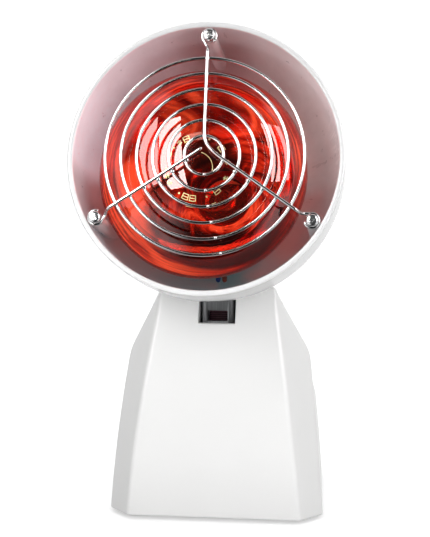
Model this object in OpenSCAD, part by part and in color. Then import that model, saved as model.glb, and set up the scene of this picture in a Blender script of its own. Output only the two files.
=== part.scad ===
// Heat lamp on a folded desk base: a deep round shade that tilts on a slotted wedge-shaped base.
// Millimetres. +Z is up, -Y is the side the lamp shines to, the origin is under the middle of the whole lamp.

/* [Base] */
// width of the front panel at the table
panel_w = 83.8; // [70:0.1:100]
// height of the front panel's top edge
panel_top = 111.3; // [95:0.1:125]
// height where the side walls end and the sloping shoulders begin
shoulder_h = 78.1; // [60:0.1:90]
// depth of the base at the table
base_d = 104; // [90:1:125]
// wall of the moulded base
base_wall = 2.2; // [1.8:0.1:3]
// height of the rubber feet under the base
foot_h = 1.6; // [1:0.1:4]
// width of the slot the tilt arm swings in
slot_w = 17.8; // [17:0.1:22]
// height of the slot's lower edge in the front panel
slot_z = 93.9; // [88:0.1:98]

/* [Tilt arm] */
// outside width of the folded steel arm
arm_w = 15; // [12:0.1:15.2]
// sheet the arm is folded from
arm_t = 1.2; // [1:0.1:1.6]
// diameter of the pivot bolt
bolt_d = 5; // [4:0.5:5]

/* [Head] */
// how far the lamp looks up at rest, degrees
tilt = 16.2; // [10:0.1:22]
// outside diameter of the shade's rim
rim_d = 124.2; // [118:0.1:128]
// wall of the shade
shade_wall = 2.1; // [1.6:0.1:2.6]
// outside diameter of the neck behind the dome
neck_d = 54; // [52:0.1:56]
// length of the shade from rim to the end of the neck
shade_len = 138; // [132:1:144]
// diameter of the circle the guard screws sit on
screw_circle = 111.6; // [108:0.1:112]

/* [Bulb] */
// largest diameter of the reflector bulb
bulb_d = 95.4; // [90:0.1:96]
// how far the bulb droops in its holder, degrees
bulb_droop = 2.2; // [0:0.1:2.5]
// how far the bulb leans to the left in its holder, degrees
bulb_lean = 1.55; // [0:0.05:2]

/* [Guard] */
// wire of the guard
wire_d = 1.5; // [1.2:0.1:2]
// radius of the outer guard ring
ring_outer = 44.4; // [40:0.1:46]
// radius of the inner guard ring
ring_inner = 8.7; // [7:0.1:12]

/* [Switch] */
// travel of the rocker from off to on, degrees
rocker_travel = 16; // [10:1:20]

/* [Hidden] */
$fn = 64;
eps = 0.01;
oy = -31.07;                      // moves the lamp so that the origin is under its middle
rim_y = -33.9; rim_z = 177;       // centre of the rim
piv_y = 36; piv_z = 88;           // tilt pivot
plate_t = 3;
body_r = rim_d / 2 - 0.5;         // shade body just behind the lip
neck_r = neck_d / 2;
dome_a = 20; dome_l = 52;         // where the dome starts and how long it is
sc_r = screw_circle / 2;
br = bulb_d / 2;
wr = wire_d / 2;
hx = slot_w / 2;
ck = 2.2;                         // hinge cheek
bolt_r = bolt_d / 2;
guard_ang = [-90, 30, 150];
rings = [for (i = [0:5]) ring_inner + (ring_outer - ring_inner) * i / 5];
posts = [[-30, 17], [30, 17], [-38, 88], [38, 88]];
feet = [[-31, 33], [31, 33], [-30, 78], [30, 78]];
sw_x = 18; sw_z = 27;             // rocker switch in the back wall
in_x = -20; in_z = 15;            // cord inlet in the back wall

// ---------- base outline ----------
function hw(s) = panel_w / 2 - 11.23 * s - 5.17 * s * s;
function yf(s) = -12.33 * s + 38.08 * s * s - 1.39 * s * s * s;
function sho(z) = hw(shoulder_h / 120) + 10.23 + 2.51 * shoulder_h / 120 - (z - shoulder_h) * 0.5223;
function ybk(z) = base_d - (z > 45 ? 28 * pow((z - 45) / 66, 2) : 0);
function tap(z) = 5 + 8 * min(1, max(0, (z - 44) / 40));
function unit(v) = v / norm(v);
function insetv(a, b, c, d) = let (u = unit(a - b), v = unit(c - b), m = unit(u + v), h = acos(u * v) / 2) b + m * d / sin(h);
function fil(a, b, c, r, n) = let (u = unit(a - b), v = unit(c - b), th = acos(u * v),
    t = r / tan(th / 2), q = b + unit(u + v) * r / sin(th / 2), p = b + u * t - q, sg = cross(u, v) < 0 ? 1 : -1)
  [for (i = [0:n]) let (w = sg * (180 - th) * i / n) q + [p[0] * cos(w) - p[1] * sin(w), p[0] * sin(w) + p[1] * cos(w)]];
function corners(z) = let (s = z / 120, h = hw(s), w = 10.23 + 2.51 * s, g = 12.24 + 13.35 * s,
    lim = z > shoulder_h ? sho(z) : h + w, q = max(0.06, min(1, (lim - h) / w)), x = h + w * q)
  [[h, yf(s)], [x, yf(s) + g * q], [x - tap(z), ybk(z)], [tap(z) - x, ybk(z)], [-x, yf(s) + g * q], [-h, yf(s)]];
function radii(z) = let (s = z / 120, h = hw(s), w = 10.23 + 2.51 * s, lim = z > shoulder_h ? sho(z) : h + w,
    q = max(0.06, min(1, (lim - h) / w))) [min(3, 9 * q), min(3, 9 * q), 11, 11, min(3, 9 * q), min(3, 9 * q)];
function sect(z, d) = let (c = corners(z), r = radii(z), n = len(c),
    k = d == 0 ? c : [for (i = [0:n - 1]) insetv(c[(i + n - 1) % n], c[i], c[(i + 1) % n], d)])
  [for (i = [0:n - 1]) for (p = fil(k[(i + n - 1) % n], k[i], k[(i + 1) % n], max(0.6, r[i] - d), 2)) p];
module loft(zs, d) {
  rows = [for (z = zs) sect(z, d)];
  n = len(rows[0]); m = len(zs);
  pts = [for (j = [0:m - 1]) for (p = rows[j]) [p[0], p[1], zs[j]]];
  polyhedron(points = pts, faces = concat(
    [[for (i = [0:n - 1]) i]],
    [[for (i = [n - 1:-1:0]) (m - 1) * n + i]],
    [for (j = [0:m - 2]) for (i = [0:n - 1]) [j * n + i, (j + 1) * n + i, (j + 1) * n + (i + 1) % n]],
    [for (j = [0:m - 2]) for (i = [0:n - 1]) [j * n + i, (j + 1) * n + (i + 1) % n, j * n + (i + 1) % n]]), convexity = 6);
}
module top_cut(d) translate([-80, 20.5, panel_top - d]) rotate([-8.5, 0, 0]) translate([0, -40, 0]) cube([160, 160, 60]);
module at_lamp() translate([0, oy, 0]) children();
// local frame of the head: x, down, back along the lamp's axis; 0 is the centre of the rim
module at_head() at_lamp() translate([0, rim_y, rim_z]) rotate([-(90 + tilt), 0, 0]) children();
module at_bulb() at_head() translate([0, 0, 125]) rotate([bulb_droop, bulb_lean, 0]) translate([0, 0, -125]) children();
module rod(a, b, r, n = 24) {
  v = b - a; l = norm(v);
  translate(a) rotate([0, acos(v[2] / l), atan2(v[1], v[0])]) cylinder(r = r, h = l, $fn = n);
}
function cut(p) = concat([p[0]], [for (i = [0:len(p) - 2]) each [p[i] * 0.75 + p[i + 1] * 0.25, p[i] * 0.25 + p[i + 1] * 0.75]], [p[len(p) - 1]]);
// a round wire swept along p; ref is never parallel to it
module wire(p, r, n = 10, ref = [0, 0, 1]) {
  m = len(p);
  t = [for (i = [0:m - 1]) unit(i == 0 ? p[1] - p[0] : i == m - 1 ? p[m - 1] - p[m - 2] : unit(p[i] - p[i - 1]) + unit(p[i + 1] - p[i]))];
  pts = [for (i = [0:m - 1]) let (u = unit(cross(t[i], ref)), v = cross(t[i], u)) for (k = [0:n - 1]) p[i] + r * (cos(k * 360 / n) * u + sin(k * 360 / n) * v)];
  polyhedron(points = pts, faces = concat(
    [[for (k = [0:n - 1]) k]], [[for (k = [n - 1:-1:0]) (m - 1) * n + k]],
    [for (i = [0:m - 2]) for (k = [0:n - 1]) [i * n + k, (i + 1) * n + k, (i + 1) * n + (k + 1) % n]],
    [for (i = [0:m - 2]) for (k = [0:n - 1]) [i * n + k, (i + 1) * n + (k + 1) % n, i * n + (k + 1) % n]]), convexity = 8);
}

// ---------- base ----------
zs = [foot_h, 22, 44, 62, shoulder_h, 94, 115];
module cheek() rotate([90, 0, 90]) linear_extrude(ck) polygon([[8.3, 74], [14.2, 94], [22, 111], [22, 114], [62, 110], [62, 74]]);
module base_shell() color("white") at_lamp() difference() {
  union() {
    difference() {
      loft(zs, 0);
      difference() { loft(concat([foot_h - 1], [for (i = [1:6]) zs[i]]), base_wall); top_cut(base_wall); }
    }
    for (x = [-hx - ck, hx]) translate([x, 0, 0]) cheek();
    translate([-hx - ck, 60, 74]) cube([2 * hx + 2 * ck, ck, 36]);
    for (p = posts) translate([p[0], p[1], foot_h + plate_t]) cylinder(r = 3.6, h = 28);
    for (p = posts) let (e = p[1] > 50 ? 44.3 : 48.6) translate([p[0] > 0 ? p[0] + 2 : -e, p[1] - 1, foot_h + plate_t]) cube([e - 2 - abs(p[0]), 2, 28]);
  }
  top_cut(0);
  translate([-hx, -10, slot_z]) cube([2 * hx, 70, 60]);
  translate([-30, piv_y, piv_z]) rotate([0, 90, 0]) cylinder(r = bolt_r + 0.1, h = 60);
  for (p = posts) translate([p[0], p[1], foot_h]) cylinder(r = 1.55, h = 18);
  translate([in_x, base_d - 6, in_z]) rotate([-90, 0, 0]) cylinder(r = 5.1, h = 12);
  translate([sw_x - 6.4, base_d - 6, sw_z - 9.5]) cube([12.8, 12, 19]);
}
module base_plate() color("white") at_lamp() difference() {
  intersection() {
    loft([foot_h, foot_h + plate_t], base_wall + 0.3);
    translate([-70, -20, foot_h]) cube([140, 160, plate_t]);
  }
  for (p = posts) translate([p[0], p[1], foot_h - 1]) { cylinder(r = 1.75, h = 9); cylinder(r = 3.4, h = 3); }
  for (p = feet) translate([p[0], p[1], foot_h - 1]) cylinder(r = 2.3, h = 9);
  for (i = [0:6]) translate([-14, 50 + i * 5, foot_h - 1]) cube([28, 2, 9]);
}
module rubber_feet() color("dimgray") at_lamp() for (p = feet) translate([p[0], p[1], 0]) {
  cylinder(r1 = 5.6, r2 = 6.2, h = foot_h);
  cylinder(r = 2.2, h = foot_h + plate_t + 0.6);
  translate([0, 0, foot_h + plate_t]) cylinder(r = 2.9, h = 1);
}
module base_screws() color("silver") at_lamp() for (p = posts) translate([p[0], p[1], foot_h]) difference() {
  union() { translate([0, 0, 0.3]) cylinder(r = 2.9, h = 1.7); cylinder(r = 1.45, h = 14); }
  for (a = [0, 90]) rotate([0, 0, a]) translate([-1.5, -0.3, -1]) cube([3, 0.6, 2.1]);
}
module cord_bush() color("dimgray") at_lamp() translate([in_x, base_d, in_z]) rotate([-90, 0, 0]) difference() {
  union() {
    cylinder(r = 7, h = 2.2);
    translate([0, 0, -4]) cylinder(r = 5, h = 5);
    translate([0, 0, -4.4]) cylinder(r = 6.2, h = 2.1);
  }
  translate([0, 0, -6]) cylinder(r = 3.3, h = 12);
}
module switch_body() color("black") at_lamp() translate([sw_x, base_d, sw_z]) difference() {
  union() {
    translate([-7.6, 0, -10.6]) cube([15.2, 1.8, 21.2]);
    translate([-6.2, -13, -9.3]) cube([12.4, 13.5, 18.6]);
    for (z = [-6, 0, 6]) translate([-2.4, -19, z - 0.4]) cube([4.8, 8, 0.8]);
  }
  translate([-5.1, -8, -8.4]) cube([10.2, 12, 16.8]);
  translate([-6.05, -1.5, 0]) rotate([0, 90, 0]) cylinder(r = 1.06, h = 12.1);
}
module switch_rocker() color("black") at_lamp() translate([sw_x, base_d - 1.5, sw_z]) rotate([rocker_travel / 2, 0, 0]) {
  intersection() {
    translate([-4.7, -4, -7.7]) cube([9.4, 9, 15.4]);
    difference() {
      translate([-5, 0, 0]) rotate([0, 90, 0]) cylinder(r = 7.7, h = 10);
      translate([-6, 31.2, 0]) rotate([0, 90, 0]) cylinder(r = 28, h = 12);
    }
  }
  translate([-5.9, 0, 0]) rotate([0, 90, 0]) cylinder(r = 1, h = 11.8);
}
module terminal_block() color("ivory") at_lamp() translate([0, 36, foot_h + plate_t]) difference() {
  translate([-12, -8, 0]) cube([24, 16, 12]);
  for (x = [-6, 6]) {
    translate([x, 9, 5]) rotate([90, 0, 0]) cylinder(r = 2, h = 18);
    for (y = [-4.5, 4.5]) translate([x, y, 5]) cylinder(r = 2.1, h = 9);
  }
}
module terminal_screws() color("gold") at_lamp() for (x = [-6, 6]) for (y = [-4.5, 4.5])
  translate([x, 36 + y, foot_h + plate_t + 7.5]) difference() {
    cylinder(r = 1.9, h = 3.4);
    translate([-2.5, -0.3, 2.4]) cube([5, 0.6, 2]);
  }
module base_wire_brown() color("saddlebrown") at_lamp()
  wire(cut(cut([[6, 31, 9.6], [6, 24, 9.8], [5.7, 20.5, 14], [3.5, 22, 30], [2, 25, 52], [1.9, 27, 74]])), 1.1, 10, [1, 0, 0]);
module base_wire_blue() color("royalblue") at_lamp()
  wire(cut(cut([[-6, 31, 9.6], [-6, 24, 9.8], [-5.7, 20.5, 14], [-3.5, 22, 30], [-1.2, 25, 52], [-1.1, 27, 74]])), 1.1, 10, [1, 0, 0]);

// ---------- tilt hinge ----------
module pivot_bolt() color("silver") at_lamp() translate([0, piv_y, piv_z]) rotate([0, 90, 0]) {
  translate([0, 0, -hx - ck - 3.2]) cylinder(r = 4.5, h = 3.2, $fn = 6);
  translate([0, 0, -hx - ck - 1]) cylinder(r = bolt_r, h = 2 * hx + 2 * ck + 8);
}
module pivot_nut() color("silver") at_lamp() translate([hx + ck, piv_y, piv_z]) rotate([0, 90, 0]) difference() {
  union() { cylinder(r = 4.6, h = 4.2, $fn = 6); translate([0, 0, 4]) cylinder(r = 3.8, h = 1.6); }
  translate([0, 0, -1]) cylinder(r = bolt_r + 0.03, h = 9);
}
module friction_washers() color("dimgray") at_lamp() for (s = [-1, 1]) translate([s * (hx - 0.5), piv_y, piv_z]) rotate([0, 90, 0]) difference() {
  cylinder(r = 6.5, h = 1, center = true);
  cylinder(r = bolt_r + 0.1, h = 3, center = true);
}
// the arm's cheeks, seen from the side (y, z)
arm_side = [[18.2, 79], [18.2, 110], [21.5, 114.5], [28.6, 124.5], [29.4, 129.9], [49.08, 124.18], [48.5, 112], [46, 90], [42, 80], [36, 77], [26, 76]];
module arm_prism(w) translate([w / 2, 0, 0]) rotate([90, 0, -90]) mirror([1, 0, 0]) linear_extrude(w) polygon(arm_side);
module tilt_arm() color("silver") difference() {
  union() {
    at_lamp() for (s = [-1, 1]) translate([s * (arm_w - arm_t) / 2, 0, 0]) arm_prism(arm_t);
    at_lamp() translate([-arm_w / 2 + arm_t / 2, 18.3, 79.6]) cube([arm_w - arm_t, arm_t, 30]);
    at_head() translate([-arm_w / 2 + arm_t / 2, neck_r, 75.6]) cube([arm_w - arm_t, arm_t, 17]);
  }
  at_lamp() translate([-4.9, 10, 94.3]) cube([9.8, 20, 5.1]);
  at_lamp() translate([-20, piv_y, piv_z]) rotate([0, 90, 0]) cylinder(r = bolt_r + 0.05, h = 40);
  at_head() for (a = [79.5, 89.5]) translate([0, neck_r - 3, a]) rotate([-90, 0, 0]) cylinder(r = 1.6, h = 8);
}
module arm_screws() color("silver") at_head() for (a = [79.5, 89.5]) translate([0, neck_r - shade_wall, a]) rotate([-90, 0, 0]) {
  translate([0, 0, -1.6]) cylinder(r1 = 2.1, r2 = 2.9, h = 1.3);
  translate([0, 0, -0.5]) cylinder(r = 1.5, h = 7.4);
}
module arm_nuts() color("silver") at_head() for (a = [79.5, 89.5]) translate([0, neck_r + arm_t, a]) rotate([-90, 0, 0]) difference() {
  cylinder(r = 3.1, h = 2.3, $fn = 6);
  translate([0, 0, -1]) cylinder(r = 1.53, h = 5);
}

// ---------- shade ----------
function dome(t, d) = [neck_r - d + (body_r - neck_r) * cos(t), dome_a + (dome_l - d) * sin(t)];
shade_out = concat([[body_r - shade_wall + 0.25, 0], [rim_d / 2 - 0.35, 0], [rim_d / 2, 0.35], [rim_d / 2, 2.4], [body_r, 2.9]],
  [for (i = [0:15]) dome(i * 5.4, 0)], [[neck_r, dome_a + dome_l + 0.6]]);
shade_in = concat([[neck_r - shade_wall, dome_a + dome_l + 0.6], [neck_r - shade_wall, dome_a + dome_l - shade_wall + 0.6]],
  [for (i = [15:-1:0]) dome(i * 5.4, shade_wall)], [[body_r - shade_wall, 0.3]]);
module shade() color("white") at_head() difference() {
  union() {
    rotate_extrude($fn = 128) polygon(concat(shade_out, shade_in));
    intersection() {
      rotate_extrude($fn = 128) polygon(concat([[0, 0]], [for (p = shade_out) p[0] > 0 ? [p[0] - 0.8, p[1]] : p], [[0, shade_len]]));
      for (g = guard_ang) rotate([0, 0, g]) {
        translate([sc_r, 0, 1.5]) cylinder(r1 = 2.9, r2 = 3.3, h = 46, $fn = 32);
        translate([sc_r, -1, 2.2]) cube([5, 2, 40]);
      }
    }
  }
  for (g = guard_ang) rotate([0, 0, g]) translate([sc_r, 0, 0]) cylinder(r = 1.4, h = 14, $fn = 24);
  translate([2.5, 37.5, 58]) cylinder(r = 3.65, h = 16, $fn = 32);
}
// the tube behind the dome
module shade_neck() color("white") at_head() difference() {
  translate([0, 0, dome_a + dome_l + 0.6]) cylinder(r = neck_r, h = shade_len - dome_a - dome_l - 0.6, $fn = 128);
  translate([0, 0, 60]) cylinder(r = neck_r - shade_wall, h = 90, $fn = 128);
  for (a = [79.5, 89.5]) translate([0, neck_r - 6, a]) rotate([-90, 0, 0]) cylinder(r = 1.6, h = 12, $fn = 24);
  for (s = [-1, 1]) translate([0, 0, 123]) rotate([0, s * 90, 0]) translate([0, 0, 15]) cylinder(r = 1.6, h = 20, $fn = 24);
  for (s = [-1, 1]) translate([0, 0, 133]) rotate([s * 90, 0, 0]) translate([0, 0, 15]) cylinder(r = 1.3, h = 20, $fn = 24);
}
module wire_bush() color("dimgray") at_head() translate([2.5, 37.5, 62.5]) difference() {
  cylinder(r = 3.6, h = 10.5, $fn = 32);
  translate([0, 0, -1]) cylinder(r = 2.6, h = 13, $fn = 32);
}
module rear_cap() color("white") at_head() difference() {
  rotate_extrude($fn = 96) polygon([[neck_r + 0.1, 127.5], [neck_r + 2, 127.5], [neck_r + 2, 142], [neck_r + 0.8, 144.6], [neck_r - 2, 146], [0, 146.8], [0, 144.7], [neck_r - 3, 144], [neck_r - 0.4, 142.8], [neck_r + 0.1, 141.4]]);
  for (i = [-3:3]) translate([i * 5.4 - 1.1, -sqrt(19 * 19 - pow(i * 5.4, 2)), 140]) cube([2.2, 2 * sqrt(19 * 19 - pow(i * 5.4, 2)), 10]);
  for (s = [-1, 1]) translate([0, 0, 133]) rotate([s * 90, 0, 0]) translate([0, 0, 15]) cylinder(r = 1.6, h = 20, $fn = 24);
}
module rear_cap_screws() color("silver") at_head() for (s = [-1, 1]) translate([0, 0, 133]) rotate([s * 90, 0, 0]) difference() {
  union() { translate([0, 0, neck_r - 3.4]) cylinder(r = 1.25, h = 6, $fn = 24); translate([0, 0, neck_r + 2]) cylinder(r1 = 2.5, r2 = 1.7, h = 1.5); }
  for (q = [0, 90]) rotate([0, 0, q]) translate([-1.2, -0.25, neck_r + 2.7]) cube([2.4, 0.5, 2]);
}
module holder_bridge() color("silver") at_bulb() difference() {
  union() {
    translate([0, 0, 133]) cylinder(r = 20.5, h = 1.4);
    for (s = [-1, 1]) translate([s * 22.1 - 0.7, -5, 118.5]) cube([1.4, 10, 15.9]);
    translate([-22.8, -5, 133]) cube([45.6, 10, 1.4]);
  }
  for (s = [-1, 1]) translate([0, s * 10, 130]) cylinder(r = 2.2, h = 6, $fn = 24);
  for (s = [-1, 1]) translate([s * 10, 0, 130]) cylinder(r = 2.2, h = 6, $fn = 24);
  for (s = [-1, 1]) translate([s * 18, 0, 123]) rotate([0, s * 90, 0]) cylinder(r = 2.4, h = 8, $fn = 24);
}
module bridge_screws() color("silver") at_head() for (s = [-1, 1]) translate([s * neck_r, 0, 123]) rotate([0, s * 90, 0]) difference() {
  union() { translate([0, 0, -5.6]) cylinder(r = 1.45, h = 6, $fn = 24); cylinder(r1 = 2.7, r2 = 1.9, h = 1.7); }
  for (q = [0, 90]) rotate([0, 0, q]) translate([-1.3, -0.25, 0.9]) cube([2.6, 0.5, 2]);
}
module lamp_holder() color("ivory") at_bulb() difference() {
  rotate_extrude($fn = 64) polygon([[15.2, 95.5], [17.6, 95.5], [18.5, 96.4], [18.5, 131], [17.5, 132.9], [0, 132.9], [0, 124.5], [12, 124.5], [12, 120.5], [14.6, 119.5], [14.6, 99], [15.2, 98]]);
  for (s = [-1, 1]) translate([0, s * 10, 123]) cylinder(r = 1.75, h = 12, $fn = 24);
  for (s = [-1, 1]) translate([s * 10, 0, 126]) cylinder(r = 1.9, h = 8, $fn = 24);
}
module holder_sleeve() color("gold") at_bulb() rotate_extrude($fn = 64) polygon(concat(
  [for (i = [0:12]) [13.95 + (i % 2 == 0 ? 0.25 : -0.25), 99.4 + i * 1.6]],
  [for (i = [12:-1:0]) [14.35 + (i % 2 == 0 ? 0.2 : -0.25), 99.4 + i * 1.6]]));
module holder_contact() color("gold") at_bulb() {
  translate([-2.5, -3.5, 123.4]) cube([5, 13, 0.8]);
  translate([0, 0, 121.9]) cylinder(r = 2.4, h = 1.6, $fn = 24);
}
module holder_screws() color("silver") at_bulb() for (s = [-1, 1]) translate([0, s * 10, 0]) {
  translate([0, 0, 125.5]) cylinder(r = 1.65, h = 11, $fn = 24);
  translate([0, 0, 134.4]) cylinder(r = 3.3, h = 2.4, $fn = 6);
}

// ---------- bulb ----------
glass_front = [for (i = [0:12]) let (t = i * 7.5) [br * pow(sin(t), 0.93), 18 - 18.6 * cos(t)]];
glass_back = [[br - 0.35, 23], [br - 1.9, 28], [br - 4.7, 34], [br - 9.2, 42], [br - 15.5, 52], [br - 22.9, 62], [br - 28, 70], [br - 29.9, 76], [br - 30.8, 82], [br - 31.3, 90], [13.6, 95], [12.2, 97.5]];
module bulb_glass() color("red", 0.5) at_bulb() rotate_extrude($fn = 128) polygon(concat(
  glass_front, glass_back, [[12.2, 112], [11.2, 112], [11.2, 97.5]],
  [for (i = [10:-1:0]) [glass_back[i][0] - 1, glass_back[i][1] - (i > 8 ? 0.6 : 0)]],
  [for (i = [12:-1:0]) let (t = i * 7.5) [(br - 1) * pow(sin(t), 0.93), 18 - 17.6 * cos(t)]]));
module bulb_cap() color("silver") at_bulb() rotate_extrude($fn = 64) polygon(concat(
  [[12.35, 97.6], [13.3, 97.6], [13.3, 98.8]],
  [for (i = [0:10]) [12.95 + (i % 2 == 0 ? -0.2 : 0.35), 99.6 + i * 1.6]],
  [[12.2, 116.4], [8.4, 117.6], [8.4, 116.9], [11.6, 115.8], [12.35, 114.6]]));
module bulb_contact() color("gray") at_bulb() {
  rotate_extrude($fn = 48) polygon([[0, 117.2], [8.3, 117.2], [8.3, 118], [5, 120.2], [0, 120.2]]);
  translate([0, 0, 120.2]) cylinder(r1 = 4.6, r2 = 3.4, h = 1.3, $fn = 32);
}
module bulb_stem() color("white", 0.6) at_bulb() {
  translate([0, 0, 84]) cylinder(r1 = 3.2, r2 = 5, h = 14, $fn = 32);
  translate([0, 0, 98]) cylinder(r = 10.9, h = 1.2, $fn = 48);
  translate([0, 0, 62]) cylinder(r1 = 1.3, r2 = 2.2, h = 22, $fn = 24);
}
module bulb_filament() color("gray") at_bulb() {
  translate([0, 0, 50]) rotate_extrude(angle = 180, $fn = 48) translate([12, 0]) circle(r = 0.6, $fn = 16);
  for (t = [-1, 1]) rod([t * 2.9, 0, 84], [t * 12, 0.4, 50.2], 0.4, 16);
  rod([0, 12, 50.2], [0, 2.4, 65], 0.35, 16);
}

// ---------- guard ----------
function ring_a(r) = -2.7 - 1.4 * (ring_outer - r) / (ring_outer - ring_inner);
function spoke_a(r) = ring_a(r) - wire_d + 0.12;
// the end of a spoke: it joggles back to the boss and runs once round the screw; u is outward, v to the right
eye_uv = concat([[-9.6, 0, 9], [-7.9, 0, 8], [-6.6, 0, 3], [-5.4, -0.5, 1], [-4.3, -1.35, 0]], [for (i = [0:18]) [3.15 * cos(-138 + i * 15.7) - 0.3, 3.15 * sin(-138 + i * 15.7), 0]]);
function eye(g, back) = let (q = [for (p = eye_uv) let (u = sc_r + p[0], a = p[2] == 9 ? spoke_a(46.6) : p[2] == 8 ? spoke_a(48) + 0.1 : p[2] == 3 ? -1.6 : p[2] == 1 ? 0.33 : 0.72)
    [u * cos(g) - p[1] * sin(g), u * sin(g) + p[1] * cos(g), a]], n = len(q)) back ? [for (i = [n - 1:-1:0]) q[i]] : q;
module guard_rings() color("silver") at_head() for (r = rings) translate([0, 0, ring_a(r)]) rotate_extrude($fn = 128) translate([r, 0]) circle(r = wr, $fn = 24);
// one wire: top eye, down, round the middle, right-hand eye
module guard_long_spoke() color("silver") at_head() wire(concat(eye(-90, true),
  [[0, -30, spoke_a(30)], [0, -9.2, spoke_a(9.2)], [0.35, -7.0, spoke_a(7)], [1.2, -4.9, spoke_a(5)], [2.6, -3.0, spoke_a(4)], [4.4, -1.3, spoke_a(4.6)], [6.4, 0.3, spoke_a(6.4)], [8.6, 1.9, spoke_a(8.8)], [12, 4.1, spoke_a(12.6)], [26, 13.7, spoke_a(29)]],
  eye(30, false)), wr, 12);
// a shorter wire: left-hand eye to a free end beside the bend
module guard_short_spoke() color("silver") at_head() wire(concat(eye(150, true), [[-20, 10, spoke_a(22)], [-0.7, -3.0, spoke_a(3)]]), wr, 12);
module guard_screws() color("silver") at_head() for (g = guard_ang) rotate([0, 0, g]) translate([sc_r, 0, 0]) difference() {
  union() {
    translate([0, 0, -0.5]) cylinder(r = 1.35, h = 11.5, $fn = 24);
    translate([0, 0, -1.1]) cylinder(r = 2.9, h = 1.05, $fn = 48);
    translate([0, 0, -2.0]) cylinder(r1 = 1.7, r2 = 2.9, h = 0.95, $fn = 48);
  }
  for (q = [0, 90]) rotate([0, 0, q - g + 20]) translate([-1.5, -0.3, -3]) cube([3, 0.6, 2.2]);
}

// ---------- wiring of the head ----------
module head_wire(dx) wire(cut(cut([[dx * 1.6 + 2, 19.9, 129], [dx * 1.4 + 3, 21.4, 125], [dx * 1.2 + 3.4, 21.6, 108], [dx + 3.9, 21.6, 78], [dx * 0.87 + 4.1, 22.8 - dx * 0.1, 72.6], [dx * 0.87 + 4.1, 23.15 - dx * 0.1, 70.4], [dx * 0.9 + 4, 25.05 - dx * 0.1, 67.8],
  [dx + 3.8, 30, 62], [dx + 3.6, 40.5, 54], [dx + 3.6, 46, 50], [dx + 3.6, 48.4, 50.2], [dx + 3.6, 47.2, 53], [dx * 0.9 + 3, 42, 56.6], [dx * 0.78 + 2.5, 37.6, 59.5], [dx * 0.78 + 2.5, 37.5, 62.5],
  [dx * 0.78 + 2.5, 37.5, 74], [dx * 0.78 + 2.1, 40.2, 79], [dx * 0.78 + 0.3, 48.5, 80.2], [dx * 0.78, 53, 81.16], [dx * 0.78, 63, 83.34], [dx * 0.78, 67, 84.1], [dx * 0.78, 76.5, 82]])), 1.1, 10, [1, 0, 0]);
module head_wire_brown() color("saddlebrown") at_head() head_wire(1.5);
module head_wire_blue() color("royalblue") at_head() head_wire(-1.5);

// woven sleeve over both wires behind the arm's window
module wire_sleeve() color("maroon") at_head() translate([0, 53, 81.16]) rotate([-77.69, 0, 0]) difference() {
  hull() for (x = [-3, 3]) translate([x, 0, -3.2]) cylinder(r = 2.2, h = 16.6, $fn = 32);
  for (x = [-1.17, 1.17]) translate([x, 0, -4]) cylinder(r = 1.13, h = 19, $fn = 24);
}

base_shell();
base_plate();
rubber_feet();
base_screws();
cord_bush();
switch_body();
switch_rocker();
terminal_block();
terminal_screws();
base_wire_brown();
base_wire_blue();
pivot_bolt();
pivot_nut();
friction_washers();
tilt_arm();
arm_screws();
arm_nuts();
shade();
shade_neck();
wire_bush();
rear_cap();
rear_cap_screws();
holder_bridge();
bridge_screws();
lamp_holder();
holder_sleeve();
holder_contact();
holder_screws();
bulb_glass();
bulb_cap();
bulb_contact();
bulb_stem();
bulb_filament();
guard_rings();
guard_long_spoke();
guard_short_spoke();
guard_screws();
head_wire_brown();
head_wire_blue();
wire_sleeve();
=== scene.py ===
import bpy, bmesh, math
from mathutils import Matrix, Vector, noise


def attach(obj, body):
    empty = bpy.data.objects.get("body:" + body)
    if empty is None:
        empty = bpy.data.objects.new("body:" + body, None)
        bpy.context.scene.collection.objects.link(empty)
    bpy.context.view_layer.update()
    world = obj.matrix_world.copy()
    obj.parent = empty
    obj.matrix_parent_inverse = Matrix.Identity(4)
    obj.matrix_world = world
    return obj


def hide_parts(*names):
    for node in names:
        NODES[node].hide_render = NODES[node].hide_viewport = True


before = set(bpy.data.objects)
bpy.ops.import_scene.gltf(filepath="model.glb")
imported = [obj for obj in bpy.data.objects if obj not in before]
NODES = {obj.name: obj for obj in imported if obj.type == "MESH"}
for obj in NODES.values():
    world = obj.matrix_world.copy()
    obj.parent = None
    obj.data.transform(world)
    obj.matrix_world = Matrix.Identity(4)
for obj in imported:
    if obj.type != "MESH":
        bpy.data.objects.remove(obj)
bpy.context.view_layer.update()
scene = bpy.context.scene
scene.view_settings.view_transform = "Standard"
scene.view_settings.look = "None"

# ------------------------------------------------------------------ frames
OY = -31.07                      # the lamp's own Y to the row frame, mm
TILT = 16.2
MM = Matrix.Scale(0.001, 4)
LAMP = MM @ Matrix.Translation((0, OY, 0))
HEAD = LAMP @ Matrix.Translation((0, -33.9, 177)) @ Matrix.Rotation(math.radians(-(90 + TILT)), 4, "X")
BULB = HEAD @ Matrix.Translation((0, 0, 125)) @ Matrix.Rotation(math.radians(1.55), 4, "Y") @ Matrix.Rotation(math.radians(2.2), 4, "X") @ Matrix.Translation((0, 0, -125))


def rad(a):
    return math.radians(a)


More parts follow.
